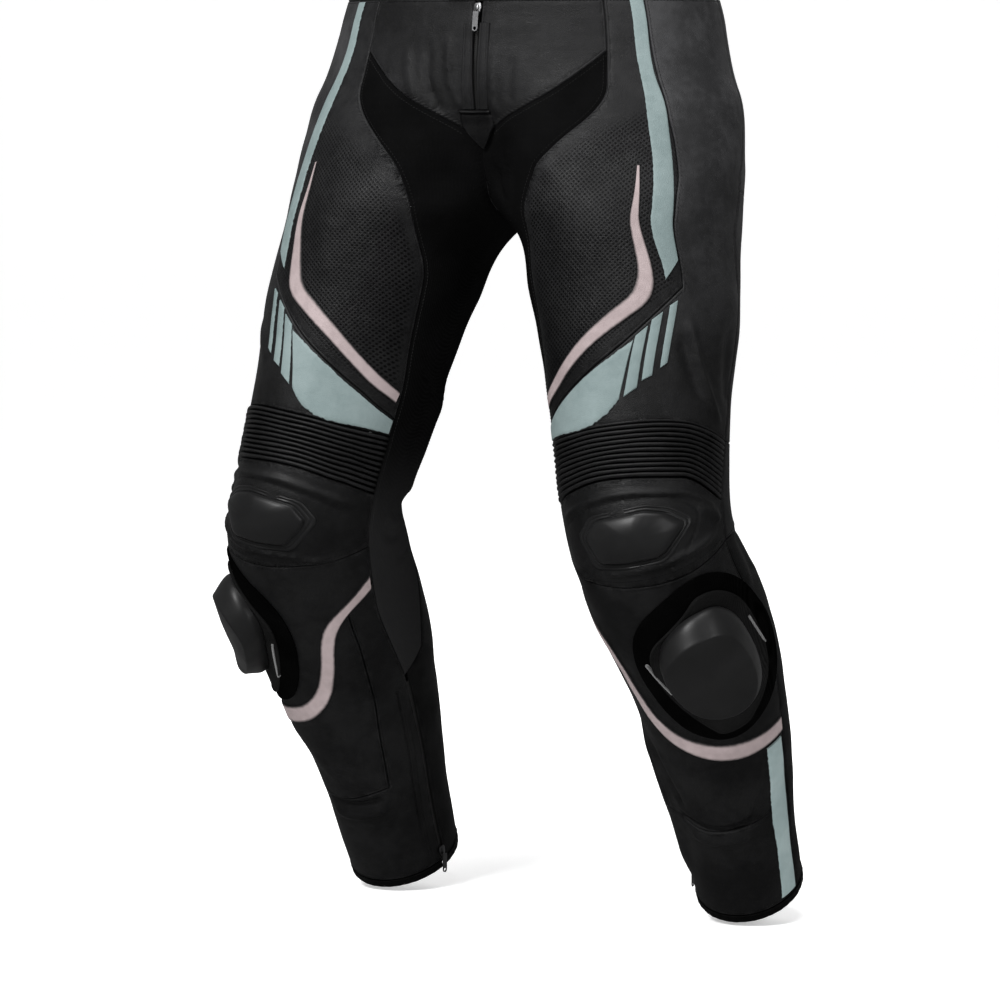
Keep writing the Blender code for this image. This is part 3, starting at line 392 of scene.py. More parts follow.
def find_apex():
    """The drop of the crotch, down to which each leg reaches the middle of the trunk."""
    low, high = 228.0, 262.0
    while high - low > 1e-4:
        middle = (low + high) / 2
        x, _, half_width = section(middle)[:3]
        low, high = (middle, high) if x < half_width else (low, middle)
    return low


APEX = find_apex()


def line_angle(column, drop):
    """The angle of a named line at a drop."""
    if column in ("inner", "back"):
        above = centre_front(drop)
        below = read(INSEAM, drop)
        angle = np.where(drop < APEX - 0.01, above, np.minimum(below, -90))
        if column == "inner":
            return angle
        return np.where(drop < APEX - 0.01, 180 - angle, 360 + angle)
    return read(SEAM_LINES, drop, COLUMNS.index(column))


COLUMN_AT = dict(zip(COLUMNS, np.cumsum([0] + COLUMN_STEPS)))


def corners_of(text):
    """The row, the column and the turn of each corner of a panel."""
    parts = [corner.split() for corner in text.split(", ")]
    return [(row, column, int(turn[0]) if turn else 0) for row, column, *turn in parts]


def row_drop(row, at):
    """The drop of a named seam at places along it, counted in columns."""
    sharp, *named = ROWS[row]
    named = [APEX if value is None else value for value in named]
    cuts = ["inner", "stretch", "side_back", "back"]
    if sharp:
        cuts.insert(2, "side_front")
    at = np.asarray(at, float)
    drops = np.zeros(len(at))
    for first, last in zip(cuts, cuts[1:]):
        a, b = COLUMNS.index(first), COLUMNS.index(last)
        places = [COLUMN_AT[name] for name in COLUMNS[a : b + 1]]
        here = (at >= places[0]) & (at <= places[-1])
        if b > a + 1:
            drops[here] = smooth(places, named[a : b + 1], at[here])
        else:
            drops[here] = np.interp(at[here], places, named[a : b + 1])
    return drops


def row_angle(at, drops):
    """The angle at places along a seam, counted in columns, each at its own drop."""
    angles = np.zeros(len(at))
    for first, last in zip(COLUMNS, COLUMNS[1:]):
        here = (at >= COLUMN_AT[first]) & (at <= COLUMN_AT[last])
        share = (at[here] - COLUMN_AT[first]) / (COLUMN_AT[last] - COLUMN_AT[first])
        near, far = line_angle(first, drops[here]), line_angle(last, drops[here])
        angles[here] = (1 - share) * near + share * far
    return angles


def along_seam(start, end):
    """Angles and drops of a seam between two corners, and how far a zip beside it holds the leather off."""
    (row_a, column_a, turn), (row_b, column_b, _) = start, end
    steps = np.linspace(0, 1, 401)
    if row_a == row_b:
        at = COLUMN_AT[column_a] + (COLUMN_AT[column_b] - COLUMN_AT[column_a]) * steps
        drops = row_drop(row_a, at)
        return row_angle(at, drops) + turn, drops, 0.0
    ends = [row_drop(row, [COLUMN_AT[column_a]])[0] for row in (row_a, row_b)]
    drops = ends[0] + (ends[1] - ends[0]) * steps
    zipped = 0.0
    if column_a == "stretch" and min(ends) > ROWS["zip_top"][2] - 1:
        zipped = CALF_ZIP_HALF
    elif column_a == "inner" and max(ends) <= ROWS["yoke"][1]:
        zipped = FLY_HALF
    return line_angle(column_a, drops) + turn, drops, zipped


# ---------------------------------------------------------------- relief


def path_points(side, places):
    """A smooth line through places on the leg: angles, drops, points and the share of its length."""
    places = np.array(places, float)
    knots = np.arange(len(places))
    length = run_of(skin(side, *places.T))[-1]
    at = np.linspace(0, len(places) - 1, max(4, int(length / FOLD_STEP)))
    angles, drops = smooth(knots, places[:, 0], at), smooth(knots, places[:, 1], at)
    return angles, drops, skin(side, angles, drops), np.linspace(0, 1, len(at))


def prepared(side):
    """The lines of one leg's folds and grooves."""
    return [(*path_points(side, places), width, height)
            for legs, places, width, height in FOLDS + GROOVES if MARKS[side] in legs]


def add_fold(points, lift, line, shares, width, height):
    """A fold has a low shoulder on both sides and fades out at its ends."""
    reach = 2.6 * width
    at = np.flatnonzero(np.all((points > line.min(axis=0) - reach) & (points < line.max(axis=0) + reach), axis=1))
    if not len(at):
        return
    away = np.linalg.norm(points[at][:, None] - line[None], axis=2)
    nearest = away.argmin(axis=1)
    d = away[np.arange(len(at)), nearest] / width
    share = shares[nearest]
    fade = np.clip(np.minimum(share, 1 - share) / 0.22, 0, 1)
    fade = fade * fade * (3 - 2 * fade)
    lift[at] += height * fade * (1 - 0.55 * d**2) * np.exp(-(d**2))


# Slow waves in worn leather: direction, wavelength and height of each.
WAVES = [
    ((0.3, 0.2, 1.0), 170, 0.55), ((1.0, 0.1, 0.4), 120, 0.45), ((-0.6, 0.5, 1.0), 95, 0.35),
    ((0.5, -0.8, 0.7), 64, 0.22), ((-0.2, 1.0, 1.3), 47, 0.14), ((0.9, 0.6, -1.1), 33, 0.08),
]


def relief(side, angle, drop):
    """How far the worn cloth stands out from its plain form."""
    shape = np.shape(angle)
    angle, drop = np.ravel(np.asarray(angle, float)), np.ravel(np.asarray(drop, float))
    points = skin(side, angle, drop)
    lift = np.zeros(len(points))
    for k, (direction, wavelength, height) in enumerate(WAVES):
        along = unit(np.array(direction))
        lift += height * np.sin(points @ along * (2 * math.pi / wavelength) + 1.7 * k + side)
    lift *= np.clip((drop - 20) / 60, 0, 1) * np.clip((HEM - drop) / 40, 0, 1)
    for _, _, line, shares, width, height in PREPARED[side]:
        add_fold(points, lift, line, shares, width, height)
    return lift.reshape(shape)


def surface(side, angle, drop, lift):
    """A point on the worn cloth, lifted off it by so much."""
    angle, drop = np.asarray(angle, float), np.asarray(drop, float)
    height = relief(side, angle, drop) + lift
    return skin(side, angle, drop) + outward(side, angle, drop) * np.asarray(height)[..., None]


# ---------------------------------------------------------------- meshes


def build(name, points, faces, material, smooth_angle=50.0, body="trousers"):
    """A piece from points in millimetres. One that is named after a node, with _skin, takes its place."""
    mesh = bpy.data.meshes.new(name)
    mesh.from_pydata((np.asarray(points, float) * MM).tolist(), [], faces)
    shell = bmesh.new()
    shell.from_mesh(mesh)
    bmesh.ops.recalc_face_normals(shell, faces=shell.faces)
    shell.to_mesh(mesh)
    shell.free()
    mesh.shade_smooth()
    mesh.set_sharp_from_angle(angle=math.radians(smooth_angle))
    mesh.materials.append(MATERIALS[material])
    obj = bpy.data.objects.new(name, mesh)
    bpy.context.scene.collection.objects.link(obj)
    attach(obj, body)
    if name.endswith("_skin"):
        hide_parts(name.removesuffix("_skin"))
    return obj


def attribute(obj, name, values):
    made = obj.data.attributes.new(name, "FLOAT", "POINT")
    made.data.foreach_set("value", np.asarray(values, np.float32))


def uv_map(obj, places):
    """A flat map in metres, so that a weave has its real size."""
    layer = obj.data.uv_layers.new(name="cloth")
    corner = np.zeros(len(obj.data.loops), np.int32)
    obj.data.loops.foreach_get("vertex_index", corner)
    layer.data.foreach_set("uv", (np.asarray(places)[corner] * MM).astype(np.float32).ravel())


def nearest_to(tree, points):
    """The distance from each point to the tree, and which of its points is nearest."""
    found = [tree.find(p) for p in points.tolist()]
    return np.array([f[2] for f in found]), np.array([f[1] for f in found])


def tree_of(points):
    tree = KDTree(len(points))
    for k, p in enumerate(points.tolist()):
        tree.insert(p, k)
    tree.balance()
    return tree


def inside(polygon, points):
    """Which points lie in a polygon, both as angles and drops."""
    hits = np.zeros(len(points), bool)
    ax, ay = polygon[:, 0], polygon[:, 1]
    bx, by = np.roll(ax, -1), np.roll(ay, -1)
    for x0, y0, x1, y1 in zip(ax, ay, bx, by):
        if y0 == y1:
            continue
        crosses = (y0 > points[:, 1]) != (y1 > points[:, 1])
        at = x0 + (points[:, 1] - y0) * (x1 - x0) / (y1 - y0)
        hits ^= crosses & (points[:, 0] < at)
    return hits


def moved(side, angle, drop, vector):
    """Angles and drops after a move by a vector that lies in the surface."""
    one_degree, one_drop = steps_of(side, angle, drop)
    aa, dd = (one_degree**2).sum(-1), (one_drop**2).sum(-1)
    ad = (one_degree * one_drop).sum(-1)
    va, vd = (vector * one_degree).sum(-1), (vector * one_drop).sum(-1)
    det = aa * dd - ad**2
    return angle + (va * dd - vd * ad) / det, drop + (vd * aa - va * ad) / det


class Border:
    """The edge of a panel: places about PITCH apart, drawn in from the seams that they follow."""

    def __init__(self, side, corners):
        self.side = side
        seams, angles, drops, gaps = [], [], [], []
        for start, end in zip(corners, corners[1:] + corners[:1]):
            if start[2] != end[2]:
                continue  # one place on the inseam, reached from both sides
            angle, drop, gap = along_seam(start, end)
            run = run_of(skin(side, angle, drop))
            if run[-1] < 0.5:
                continue
            count = max(1, round(run[-1] / PITCH))
            at = np.linspace(0, run[-1], count + 1)[:-1]
            seams.append(np.column_stack([angle, drop, np.full(len(angle), gap)])[:-1])
            angles.append(np.interp(at, run, angle))
            drops.append(np.interp(at, run, drop))
            gaps.append(np.full(count, gap))
        self.angle, self.drop = np.concatenate(angles), np.concatenate(drops)
        gap = np.concatenate(gaps)
        gap = np.maximum(gap, np.roll(gap, 1))
        self.draw_in(np.where(gap > 0, gap, SEAM_GAP / 2))
        seams = np.concatenate(seams)
        keep = inside(seams[:, :2], np.stack([self.angle, self.drop], 1))
        wide = seams[:, 2] > 0
        if wide.any():
            tree = tree_of(skin(side, seams[wide, 0], seams[wide, 1]))
            keep &= nearest_to(tree, self.points)[0] > 0.95 * seams[:, 2].max()
        crowded = True
        while crowded or not keep.all():
            crowded = False
            self.angle, self.drop, self.points = self.angle[keep], self.drop[keep], self.points[keep]
            keep = np.ones(len(self.angle), bool)
            for reach, least in ((1, 0.3), (2, 0.7)):  # crowded places, and the tip of a spike
                gap = np.linalg.norm(np.roll(self.points, -reach, axis=0) - self.points, axis=1)
                if gap.min() < least * PITCH:
                    keep[(gap.argmin() + 1) % len(gap)] = False
                    break
        self.draw_in(0.0)

    def way_in(self):
        """At each place, the way into the panel, square to its edge."""
        points = skin(self.side, self.angle, self.drop)
        tangent = np.roll(points, -1, axis=0) - np.roll(points, 1, axis=0)
        normal = outward(self.side, self.angle, self.drop)
        way = unit(np.cross(normal, tangent))
        x, y = self.angle, self.drop
        area = (x * np.roll(y, -1) - np.roll(x, -1) * y).sum()
        dx, dy = np.roll(x, -1) - np.roll(x, 1), np.roll(y, -1) - np.roll(y, 1)
        one_degree, one_drop = steps_of(self.side, self.angle, self.drop)
        left = one_drop * dx[:, None] - one_degree * dy[:, None]
        return way * np.sign((way * left).sum(1) * area)[:, None]

    def draw_in(self, distance):
        way = self.way_in() * np.full(len(self.angle), distance)[:, None]
        self.angle, self.drop = moved(self.side, self.angle, self.drop, way)
        self.points = skin(self.side, self.angle, self.drop)
        self.tree = tree_of(self.points)

    def ring(self, distance):
        """Places at one distance inside the edge, in order, without those that a corner squeezes."""
        angle, drop = moved(self.side, self.angle, self.drop, self.way_in() * distance)
        away, _ = nearest_to(self.tree, skin(self.side, angle, drop))
        return angle, drop, away > 0.9 * distance


def triangles_in(border, extra, centre):
    """Triangles between the border and points inside it."""
    places = np.concatenate([np.stack([border.angle, border.drop], 1), extra])
    flat = np.stack([(places[:, 0] - centre) * mm_per_degree(places[:, 1]), places[:, 1]], 1)
    loop = list(range(len(border.angle)))
    edges = list(zip(loop, loop[1:] + loop[:1]))
    _, _, faces, origins, _, _ = delaunay_2d_cdt([Vector(p) for p in flat.tolist()], edges, [loop], 1, 1e-5)
    return places, flat, [[origins[k][0] for k in face] for face in faces]


def grid_inside(side, border, pitch, clear):
    """A staggered grid of places inside a border, clear of its edge."""
    polygon = np.stack([border.angle, border.drop], 1)
    rows = np.arange(border.drop.min() + pitch / 2, border.drop.max(), pitch * 0.8)
    found = []
    for n, drop in enumerate(rows):
        step = pitch / mm_per_degree(drop)
        angles = np.arange(border.angle.min() + (n % 2) * step / 2, border.angle.max(), step)
        found.append(np.stack([angles, np.full(len(angles), drop)], 1))
    found = np.concatenate(found)
    found = found[inside(polygon, found)]
    away, _ = nearest_to(border.tree, skin(side, found[:, 0], found[:, 1]))
    return found[away > clear]


# How an edge is turned under: distance from it, and lift. The last but one is where the edge ends.
LEATHER_EDGE = [(0.0, -1.15), (0.5, -0.45), (1.2, 0.05), (2.0, 0.12), (2.7, -0.3), (3.6, 0.05), (5.5, 0.0)]
CLOTH_EDGE = [(0.0, -1.0), (1.0, -0.75), (2.4, -0.35), (4.0, -0.08), (6.0, 0.0)]


def near_features(side, places):
    """Finer places beside the narrow folds that cross a panel, and which of the given places they replace."""
    points = skin(side, places[:, 0], places[:, 1])
    keep = np.ones(len(places), bool)
    finer = []
    for angles, drops, line, _, width, _ in PREPARED[side]:
        if width >= NARROW:
            continue
        low, high = line.min(axis=0) - 6, line.max(axis=0) + 6
        if not np.all((points > low) & (points < high), axis=1).any():
            continue
        away, _ = nearest_to(tree_of(line), points)
        keep &= away > 2.1 * width + 1.2
        across = unit(np.cross(outward(side, angles, drops), np.gradient(line, axis=0)))
        for offset in (-1.9, -1.0, 0.0, 1.0, 1.9):
            finer.append(np.stack(moved(side, angles, drops, across * offset * width), 1)[::2])
    return places[keep], finer


def panel(name, side, corners, material, edge):
    """A cut piece as a closed thin wall: its outer face follows the folds, its edges are turned under."""
    border = Border(side, corners)
    polygon = np.stack([border.angle, border.drop], 1)
    centre = (border.angle.min() + border.angle.max()) / 2
    rings = []
    for distance, _ in edge[1:-1]:
        angle, drop, clear = border.ring(distance)
        rings.append(np.stack([angle, drop], 1)[clear])
    last = edge[-2][0]
    if name.startswith("knee_panel"):
        grid, finer = grid_inside(side, border, KNEE_PITCH, last + EDGE_CLEAR), []
    else:
        grid, finer = near_features(side, grid_inside(side, border, INNER_PITCH, last + 0.45 * INNER_PITCH))
    if finer:
        finer = np.concatenate(finer)
        finer = finer[inside(polygon, finer)]
        away, _ = nearest_to(border.tree, skin(side, *finer.T))
        grid = np.concatenate([grid, finer[away > last + EDGE_CLEAR]])
    places, flat, faces = triangles_in(border, np.concatenate([*rings, grid]), centre)
    base = skin(side, *places.T)
    away, _ = nearest_to(border.tree, base)
    count = len(border.angle)
    away[:count] = 0.0
    outer = surface(side, *places.T, np.interp(away, *zip(*edge)))
    hidden = grid_inside(side, border, HIDDEN_PITCH, HIDDEN_PITCH / 2)
    inner_places, inner_flat, inner_faces = triangles_in(border, hidden, centre)
    inner = surface(side, *inner_places.T, -WALL)
    middle = np.abs(border.points[:, 0]) < 2 * SEAM_GAP
    for wall in (outer, inner):  # the left and the right piece meet in the garment's middle
        wall[:count][middle, 0] = 0.0
    start = len(outer)
    area = sheet_area(base, faces)
    faces += [[start + k for k in reversed(face)] for face in inner_faces]
    faces += [[(k + 1) % count, k, start + k, start + (k + 1) % count] for k in range(count)]
    whole = np.concatenate([outer, inner])
    obj = build(name, whole, faces, material)
    attribute(obj, "edge", np.concatenate([away, np.full(len(inner), FAR)]))
    if material == "perforated":  # its rows of holes run straight
        normal = unit(outward(side, *places.T).mean(axis=0))
        across = unit(np.cross([0.0, 0.0, 1.0], normal))
        uv_map(obj, np.stack([whole @ across, whole @ np.cross(normal, across)], 1))
    else:
        uv_map(obj, np.concatenate([flat, inner_flat]))
    declare_cut(area, flat)
    return obj, border, np.concatenate([places, inner_places])


def sheet_area(points, faces):
    a, b, c = (points[[face[k] for face in faces]] for k in range(3))
    return np.linalg.norm(np.cross(b - a, c - a), axis=1).sum() / 2


def declare_cut(area, flat):
    """Works out the sheet that the piece would be cut from: the size of its face before the folds, in the smallest
    rectangle round it. The size is not used.
    """
    sizes = []
    for turn in np.radians(np.arange(0, 90, 3)):
        x = flat[:, 0] * np.cos(turn) + flat[:, 1] * np.sin(turn)
        y = flat[:, 1] * np.cos(turn) - flat[:, 0] * np.sin(turn)
        sizes.append(sorted([np.ptp(x), np.ptp(y)]))
    width, length = min(sizes, key=lambda size: size[0] * size[1])
    length = max(length, area / width)
    if area < SLENDER * width * length:
        width = area / length


def grid_faces(rows, columns, start=0):
    """Both faces and the rim of a wall between two equal grids of points."""
    at = np.arange(rows * columns).reshape(rows, columns) + start
    quads = np.stack([at[:-1, :-1], at[:-1, 1:], at[1:, 1:], at[1:, :-1]], -1).reshape(-1, 4)
    count = rows * columns
    rim = [*at[0], *at[1:, -1], *at[-1, -2::-1], *at[-2:0:-1, 0]]
    sides = [[int(v) for v in (b, a, a + count, b + count)] for a, b in zip(rim, rim[1:] + rim[:1])]
    return quads.tolist() + (quads[:, ::-1] + count).tolist() + sides


def grid_shell(name, top, low, material):
    faces = grid_faces(*top.shape[:2])
    return build(name, np.concatenate([top.reshape(-1, 3), low.reshape(-1, 3)]), faces, material)


def loop_faces(rows, count, start=0):
    """Quads between equal closed loops of points, with both ends filled."""
    faces = [[start + k for k in range(count)], [start + (rows - 1) * count + k for k in reversed(range(count))]]
    for r in range(rows - 1):
        for k in range(count):
            a, b = start + r * count + k, start + r * count + (k + 1) % count
            faces.append([b, a, a + count, b + count])
    return faces


def swept(name, loops, material, smooth_angle=50.0):
    """A solid from equal closed loops of points."""
    loops = np.asarray(loops)
    return build(name, loops.reshape(-1, 3), loop_faces(*loops.shape[:2]), material, smooth_angle)


def beside(side, angle, drop, across, lift):
    """A point so many millimetres round the leg from a line on it."""
    one_degree = np.linalg.norm(steps_of(side, angle, drop)[0], axis=-1)
    angle = angle + across / one_degree
    return skin(side, angle, drop) + outward(side, angle, drop) * np.asarray(lift, float)[..., None]


# ---------------------------------------------------------------- ribs, bands and patches


def accordion(side, mark):
    """Ribs of padded leather, pressed flat where their ends are sewn in."""
    at = np.linspace(COLUMN_AT["stretch"], COLUMN_AT["side_back"], RIB_COLUMNS)
    top, end = row_drop("ribs_top", at) + RIB_CLEAR, row_drop("ribs_end", at) - RIB_CLEAR
    share = np.linspace(0, 1, RIBS * RIB_ROWS + 1)[:, None]
    wander = 0.16 * np.sin(at * 2.1 + share * 9) + 0.08 * np.sin(at * 5.3 + share * 31)
    drops = top + (end - top) * share + wander * np.minimum(1, 8 * np.minimum(share, 1 - share))
    angles = np.stack([row_angle(at, row) for row in drops])
    full = np.sin(math.pi * ((share * RIBS) % 1.0) ** 0.8) ** 0.8
    ends = np.minimum(at - at[0], at[-1] - at)[None] * 10.0
    full = full * np.interp(ends, [0, 4, 12], [0.3, 0.75, 1.0])
    uneven = 1 + 0.05 * np.sin(at * 3.1 + np.floor(share * RIBS) * 2.4)
    outer = surface(side, angles, drops, RIB_FOOT + (RIB_HEIGHT - RIB_FOOT) * full * uneven)
    obj = grid_shell(f"accordion_{mark}_skin", outer, surface(side, angles, drops, -WALL), "ribs")
    attribute(obj, "edge", np.full(2 * full.size, FAR))
    # gap is 1 in the hollows between the ribs, where the ribbed leather paints its shade
    attribute(obj, "gap", np.concatenate([1 - np.ravel(full), np.ones(full.size)]))
    run_of(outer[len(outer) // 2])[-1]
    run_of(outer[:, len(at) // 2])[-1]


def band_grid(side, stations, shares, lifts):
    """The faces of a strip between two edges. Its rim is turned down onto the leather."""
    stations = np.array(stations, float)
    knots = np.arange(len(stations))
    run = run_of(skin(side, *((stations[:, :2] + stations[:, 2:]) / 2).T))
    steps = np.linspace(3, run[-1] - 3, max(2, int(run[-1] / BAND_STEP)))
    stops = np.concatenate([[0, 0.8], steps, [run[-1] - 0.8, run[-1]]])
    at = np.interp(stops, run, knots)
    a0, d0, a1, d1 = (smooth(knots, stations[:, k], at)[:, None] for k in range(4))
    shares = np.asarray(shares)[None]
    angles, drops = a0 + (a1 - a0) * shares, d0 + (d1 - d0) * shares
    lift = np.repeat(np.asarray(lifts, float)[None], len(stops), axis=0)
    lift[[0, -1]] = lifts[0]
    return surface(side, angles, drops, lift), surface(side, angles, drops, BAND_LOW), run[-1]


def between(first, last, shares):
    return [np.multiply(first, 1 - s) + np.multiply(last, s) for s in shares]


def band_shares(columns):
    inner = np.linspace(0.1, 0.9, columns)
    shares = np.concatenate([[0, 0.035], inner, [0.965, 1]])
    return shares, np.interp(shares, [0, 0.035, 0.1, 0.9, 0.965, 1], [0.1, 1.0, 1.3, 1.3, 1.0, 0.1])


def band(name, side, stations, material, columns):
    shares, lifts = band_shares(columns)
    top, low, length = band_grid(side, stations, shares, lifts)
    obj = grid_shell(name, top, low, material)
    attribute(obj, "across", np.tile(shares, 2 * len(top)))
    width = np.linalg.norm(np.diff(top, axis=1), axis=2).sum(axis=1).mean()


def bars(side, mark):
    """Three slanted bars beside the flash, cut from one piece."""
    shares, lifts = band_shares(3)
    points, faces, crossed = [], [], []
    for upper_a, upper_b, lower_a, lower_b in BARS:
        stations = between(upper_a + upper_b, lower_a + lower_b, (0, 0.33, 0.67, 1))
        top, low, length = band_grid(side, stations, shares, lifts)
        faces += grid_faces(*top.shape[:2], start=sum(len(p) for p in points))
        points += [top.reshape(-1, 3), low.reshape(-1, 3)]
        crossed.append(np.tile(shares, 2 * len(top)))
    obj = build(f"bars_{mark}", np.concatenate(points), faces, "grey_blue")
    attribute(obj, "across", np.concatenate(crossed))


def rounded(outline, keep):
    """An outline with its corners cut twice. keep is the share of each edge that stays."""
    points = np.array(outline, float)
    for _ in range(2):
        along = (np.roll(points, -1, axis=0) - points) * (1 - keep) / 2
        near, far = points + along, np.roll(points, -1, axis=0) - along
        points = np.stack([near, far], 1).reshape(-1, 2)
    return points


def patch(name, side, outline, rings, low, material, keep=0.5, turn=0.0):
    """A raised piece: rings of its outline, each with its scale across and along the leg, lift and slide down."""
    outline = rounded(outline, keep)
    centre = (outline.min(axis=0) + outline.max(axis=0)) / 2
    loops = []
    for across, along, lift, *down in [(scale, scale, low) for scale in (0.2, 0.6, 0.97)] + rings:
        at = centre + (outline - centre) * (across, along)
        loops.append(surface(side, at[:, 0] - turn * max(0, lift - 8), at[:, 1] + sum(down), lift))
    return swept(name + "_skin", loops, material, 60.0), outline


# Scale across and along the leg, lift, and slide down it.
CUP_SHAPE = [
    (1.02, 1.02, -0.2), (1.025, 1.025, 0.9), (1.0, 1.0, 1.6), (0.975, 0.97, 1.5), (0.955, 0.945, 0.7),
    (0.94, 0.925, 0.7), (0.925, 0.905, 1.3), (0.89, 0.865, 1.2), (0.87, 0.84, 0.6), (0.855, 0.82, 1.0),
    (0.83, 0.79, 3.2), (0.8, 0.76, 4.2), (0.76, 0.72, 4.9), (0.68, 0.64, 5.6), (0.52, 0.5, 6.3),
    (0.34, 0.33, 6.8), (0.12, 0.12, 7.0),
]
PAD_SHAPE = [(scale, scale, lift) for scale, lift in [
    (1.0, 0.2), (1.0, 1.8), (0.985, 2.4), (0.955, 2.6), (0.9, 2.6), (0.82, 2.6), (0.74, 2.6), (0.6, 2.6),
    (0.3, 2.6),
]]
PLATE_SHAPE = [(scale, scale, lift) for scale, lift in [
    (1.0, 2.6), (1.005, 4.3), (0.995, 5.3), (0.98, 5.5), (0.965, 4.7), (0.94, 4.6), (0.86, 4.7), (0.7, 4.7),
    (0.3, 4.7),
]]
PUCK_SHAPE = [
    (0.97, 0.97, 4.6, -4.0), (0.995, 1.0, 5.4, -4.2), (0.99, 1.0, 7.4, -4.2), (0.98, 0.995, 9.8, -4.2),
    (0.965, 0.98, 12.2, -4.2), (0.94, 0.955, 14.6, -4.4), (0.90, 0.915, 17.7, -4.6), (0.85, 0.87, 21.0, -4.8),
    (0.80, 0.825, 24.2, -4.9), (0.755, 0.785, 27.1, -5.0), (0.735, 0.768, 28.4, -5.0), (0.72, 0.755, 29.1, -5.0),
    (0.70, 0.738, 29.3, -5.0), (0.66, 0.70, 29.2, -5.0), (0.6, 0.64, 29.1, -5.0), (0.5, 0.53, 29.0, -5.0),
    (0.32, 0.34, 29.1, -5.0), (0.1, 0.12, 29.2, -5.0),
]
PUCK_TURN = 0.25  # how many degrees inward its face leans, for each millimetre of lift


def knee(side, mark):
    """The moulded cup, and the slider on its plate and pad of loop pile."""
    patch(f"knee_cup_{mark}", side, CUP_OUTLINE, CUP_SHAPE, -0.4, "moulded", keep=0.76)
    pad, outline = patch(f"slider_pad_{mark}", side, PAD_OUTLINE, PAD_SHAPE, 0.0, "pile")
    area, width, length = outline_size(side, outline)
    patch(f"slider_plate_{mark}", side, PLATE_OUTLINE, PLATE_SHAPE, 2.4, "plate")
    patch(f"knee_slider_{mark}", side, PUCK_OUTLINE, PUCK_SHAPE, 4.4, "slider", turn=PUCK_TURN)
    for n, (upper, lower) in enumerate(TAGS[mark]):
        half = TAG_WIDTH / 2 / mm_per_degree(upper[1])
        edges = np.array([-half, 0, half, 0])
        stations = [line + edges for line in between(upper * 2, lower * 2, (0, 0.5, 1))]
        top, low, _ = band_grid(side, stations, np.linspace(0, 1, 5), [5.0, 5.7, 5.9, 5.7, 5.0])
        grid_shell(f"slider_tag_{mark}_{n}", top, low, "tag")


def outline_size(side, outline):
    """The area, width and length of what an outline encloses, across and along the leg."""
    points = skin(side, *outline.T)
    middle = points.mean(axis=0)
    out = outward(side, *outline.mean(axis=0))
    x = unit(np.cross(out, [0, 0, 1.0]))
    y = np.cross(x, out)
    area = np.linalg.norm(np.cross(points - middle, np.roll(points, -1, axis=0) - middle), axis=1).sum() / 2
    width, length = np.ptp(points @ x), np.ptp(points @ y)
    return area, width, max(length, area / width)


# ---------------------------------------------------------------- hems, waist and zips


def hem_binding(side, mark):
    """The folded strip round the bottom edge, open at the calf zip."""
    top = ROWS["binding"][1] + SEAM_GAP / 2
    first = line_angle("stretch", HEM)
    clear = CALF_ZIP_HALF / mm_per_degree(HEM)
    down, lift = np.array([
        (0.0, 0.3), (0.5, 0.85), (1.6, 0.6), (2.6, 0.35), (4.0, 0.6), (6.6, 0.7), (7.7, 0.2), (8.0, -0.9),
        (7.7, -2.2), (6.5, -2.7), (3.0, -2.6), (0.3, -2.5), (0.3, -1.9), (3.0, -1.8), (6.2, -1.8), (6.9, -1.2),
        (6.9, -0.6), (6.2, -0.1), (3.0, -0.2), (0.2, -0.3),
    ]).T
    loops = []
    for n, angle in enumerate(np.linspace(first + clear, first + 360 - clear, 120)):
        wave = 0.18 * math.sin(n * 1.9) + 0.12 * math.sin(n * 0.7)
        loops.append(beside(side, angle, top + (HEM - top) * down / 8.0, 0.0, lift + wave * (lift > 0)))
    obj = swept(f"hem_binding_{mark}_skin", loops, "binding", 60.0)
    run_of(np.array(loops)[:, 5])[-1]


def waistband():
    """One strip round the waist, from under the centre front to its snapped end over it."""
    one_degree = 2 * math.pi * SECTIONS[0][3] / 360
    over = WAIST_LIFT + WAIST_WALL + WAIST_STAND
    stations = [(-1, angle, WAIST_LIFT) for angle in np.linspace(1.0, 180, 60)]
    stations += [(1, angle, WAIST_LIFT) for angle in np.linspace(180, 12, 56)[1:]]
    stations += [(1, 8.0, WAIST_LIFT + (over - WAIST_LIFT) * 0.4), (1, 4.0, over), (1, 0.0, over)]
    stations += [(-1, share * WAIST_OVERLAP / one_degree, over) for share in (0.3, 0.6, 0.97, 1.0)]
    height = ROWS["band"][1] + WAIST_LAP
    profile = [
        (0.0, -1.6), (0.1, -0.4), (1.6, 0.0), (3.4, -0.25), (5.5, 0.05), (height / 2, 0.2), (height - 5.5, 0.05),
        (height - 3.4, -0.25), (height - 1.6, 0.0), (height - 0.1, -0.4), (height, -1.6),
        (height - 0.4, -WAIST_WALL), (height / 2, -WAIST_WALL), (0.4, -WAIST_WALL),
    ]
    loops = []
    for n, (side, angle, lift) in enumerate(stations, 1):
        inset = 1.4 if n == len(stations) else 0.0
        loops.append([skin(side, angle, np.clip(drop, inset, height - inset))
                      + outward(side, angle, 20.0) * (up + lift) for drop, up in profile])
    obj = swept("waistband_skin", loops, "yoke", 60.0)
    run_of(np.array(loops)[:, 5])[-1]
    angle = -SNAP_X / one_degree
    out = outward(-1, angle, SNAP_DROP)
    middle = skin(-1, angle, SNAP_DROP) + out * (over + 0.3)
    across = unit(np.cross(out, np.array([0.0, 0.0, 1.0])))
    up = np.cross(across, out)
    rings = [(7.0, -0.3), (7.5, 0.4), (7.4, 1.3), (6.9, 2.0), (6.2, 2.4), (5.2, 2.6), (4.6, 2.3), (3.9, 2.2),
             (3.0, 2.45), (1.6, 2.6), (0.4, 2.6)]
    turn = np.linspace(0, 2 * math.pi, 32, endpoint=False)[:, None]
    swept("waist_snap_skin", [middle + (across * np.cos(turn) + up * np.sin(turn)) * radius + out * lift
                              for radius, lift in rings], "metal")


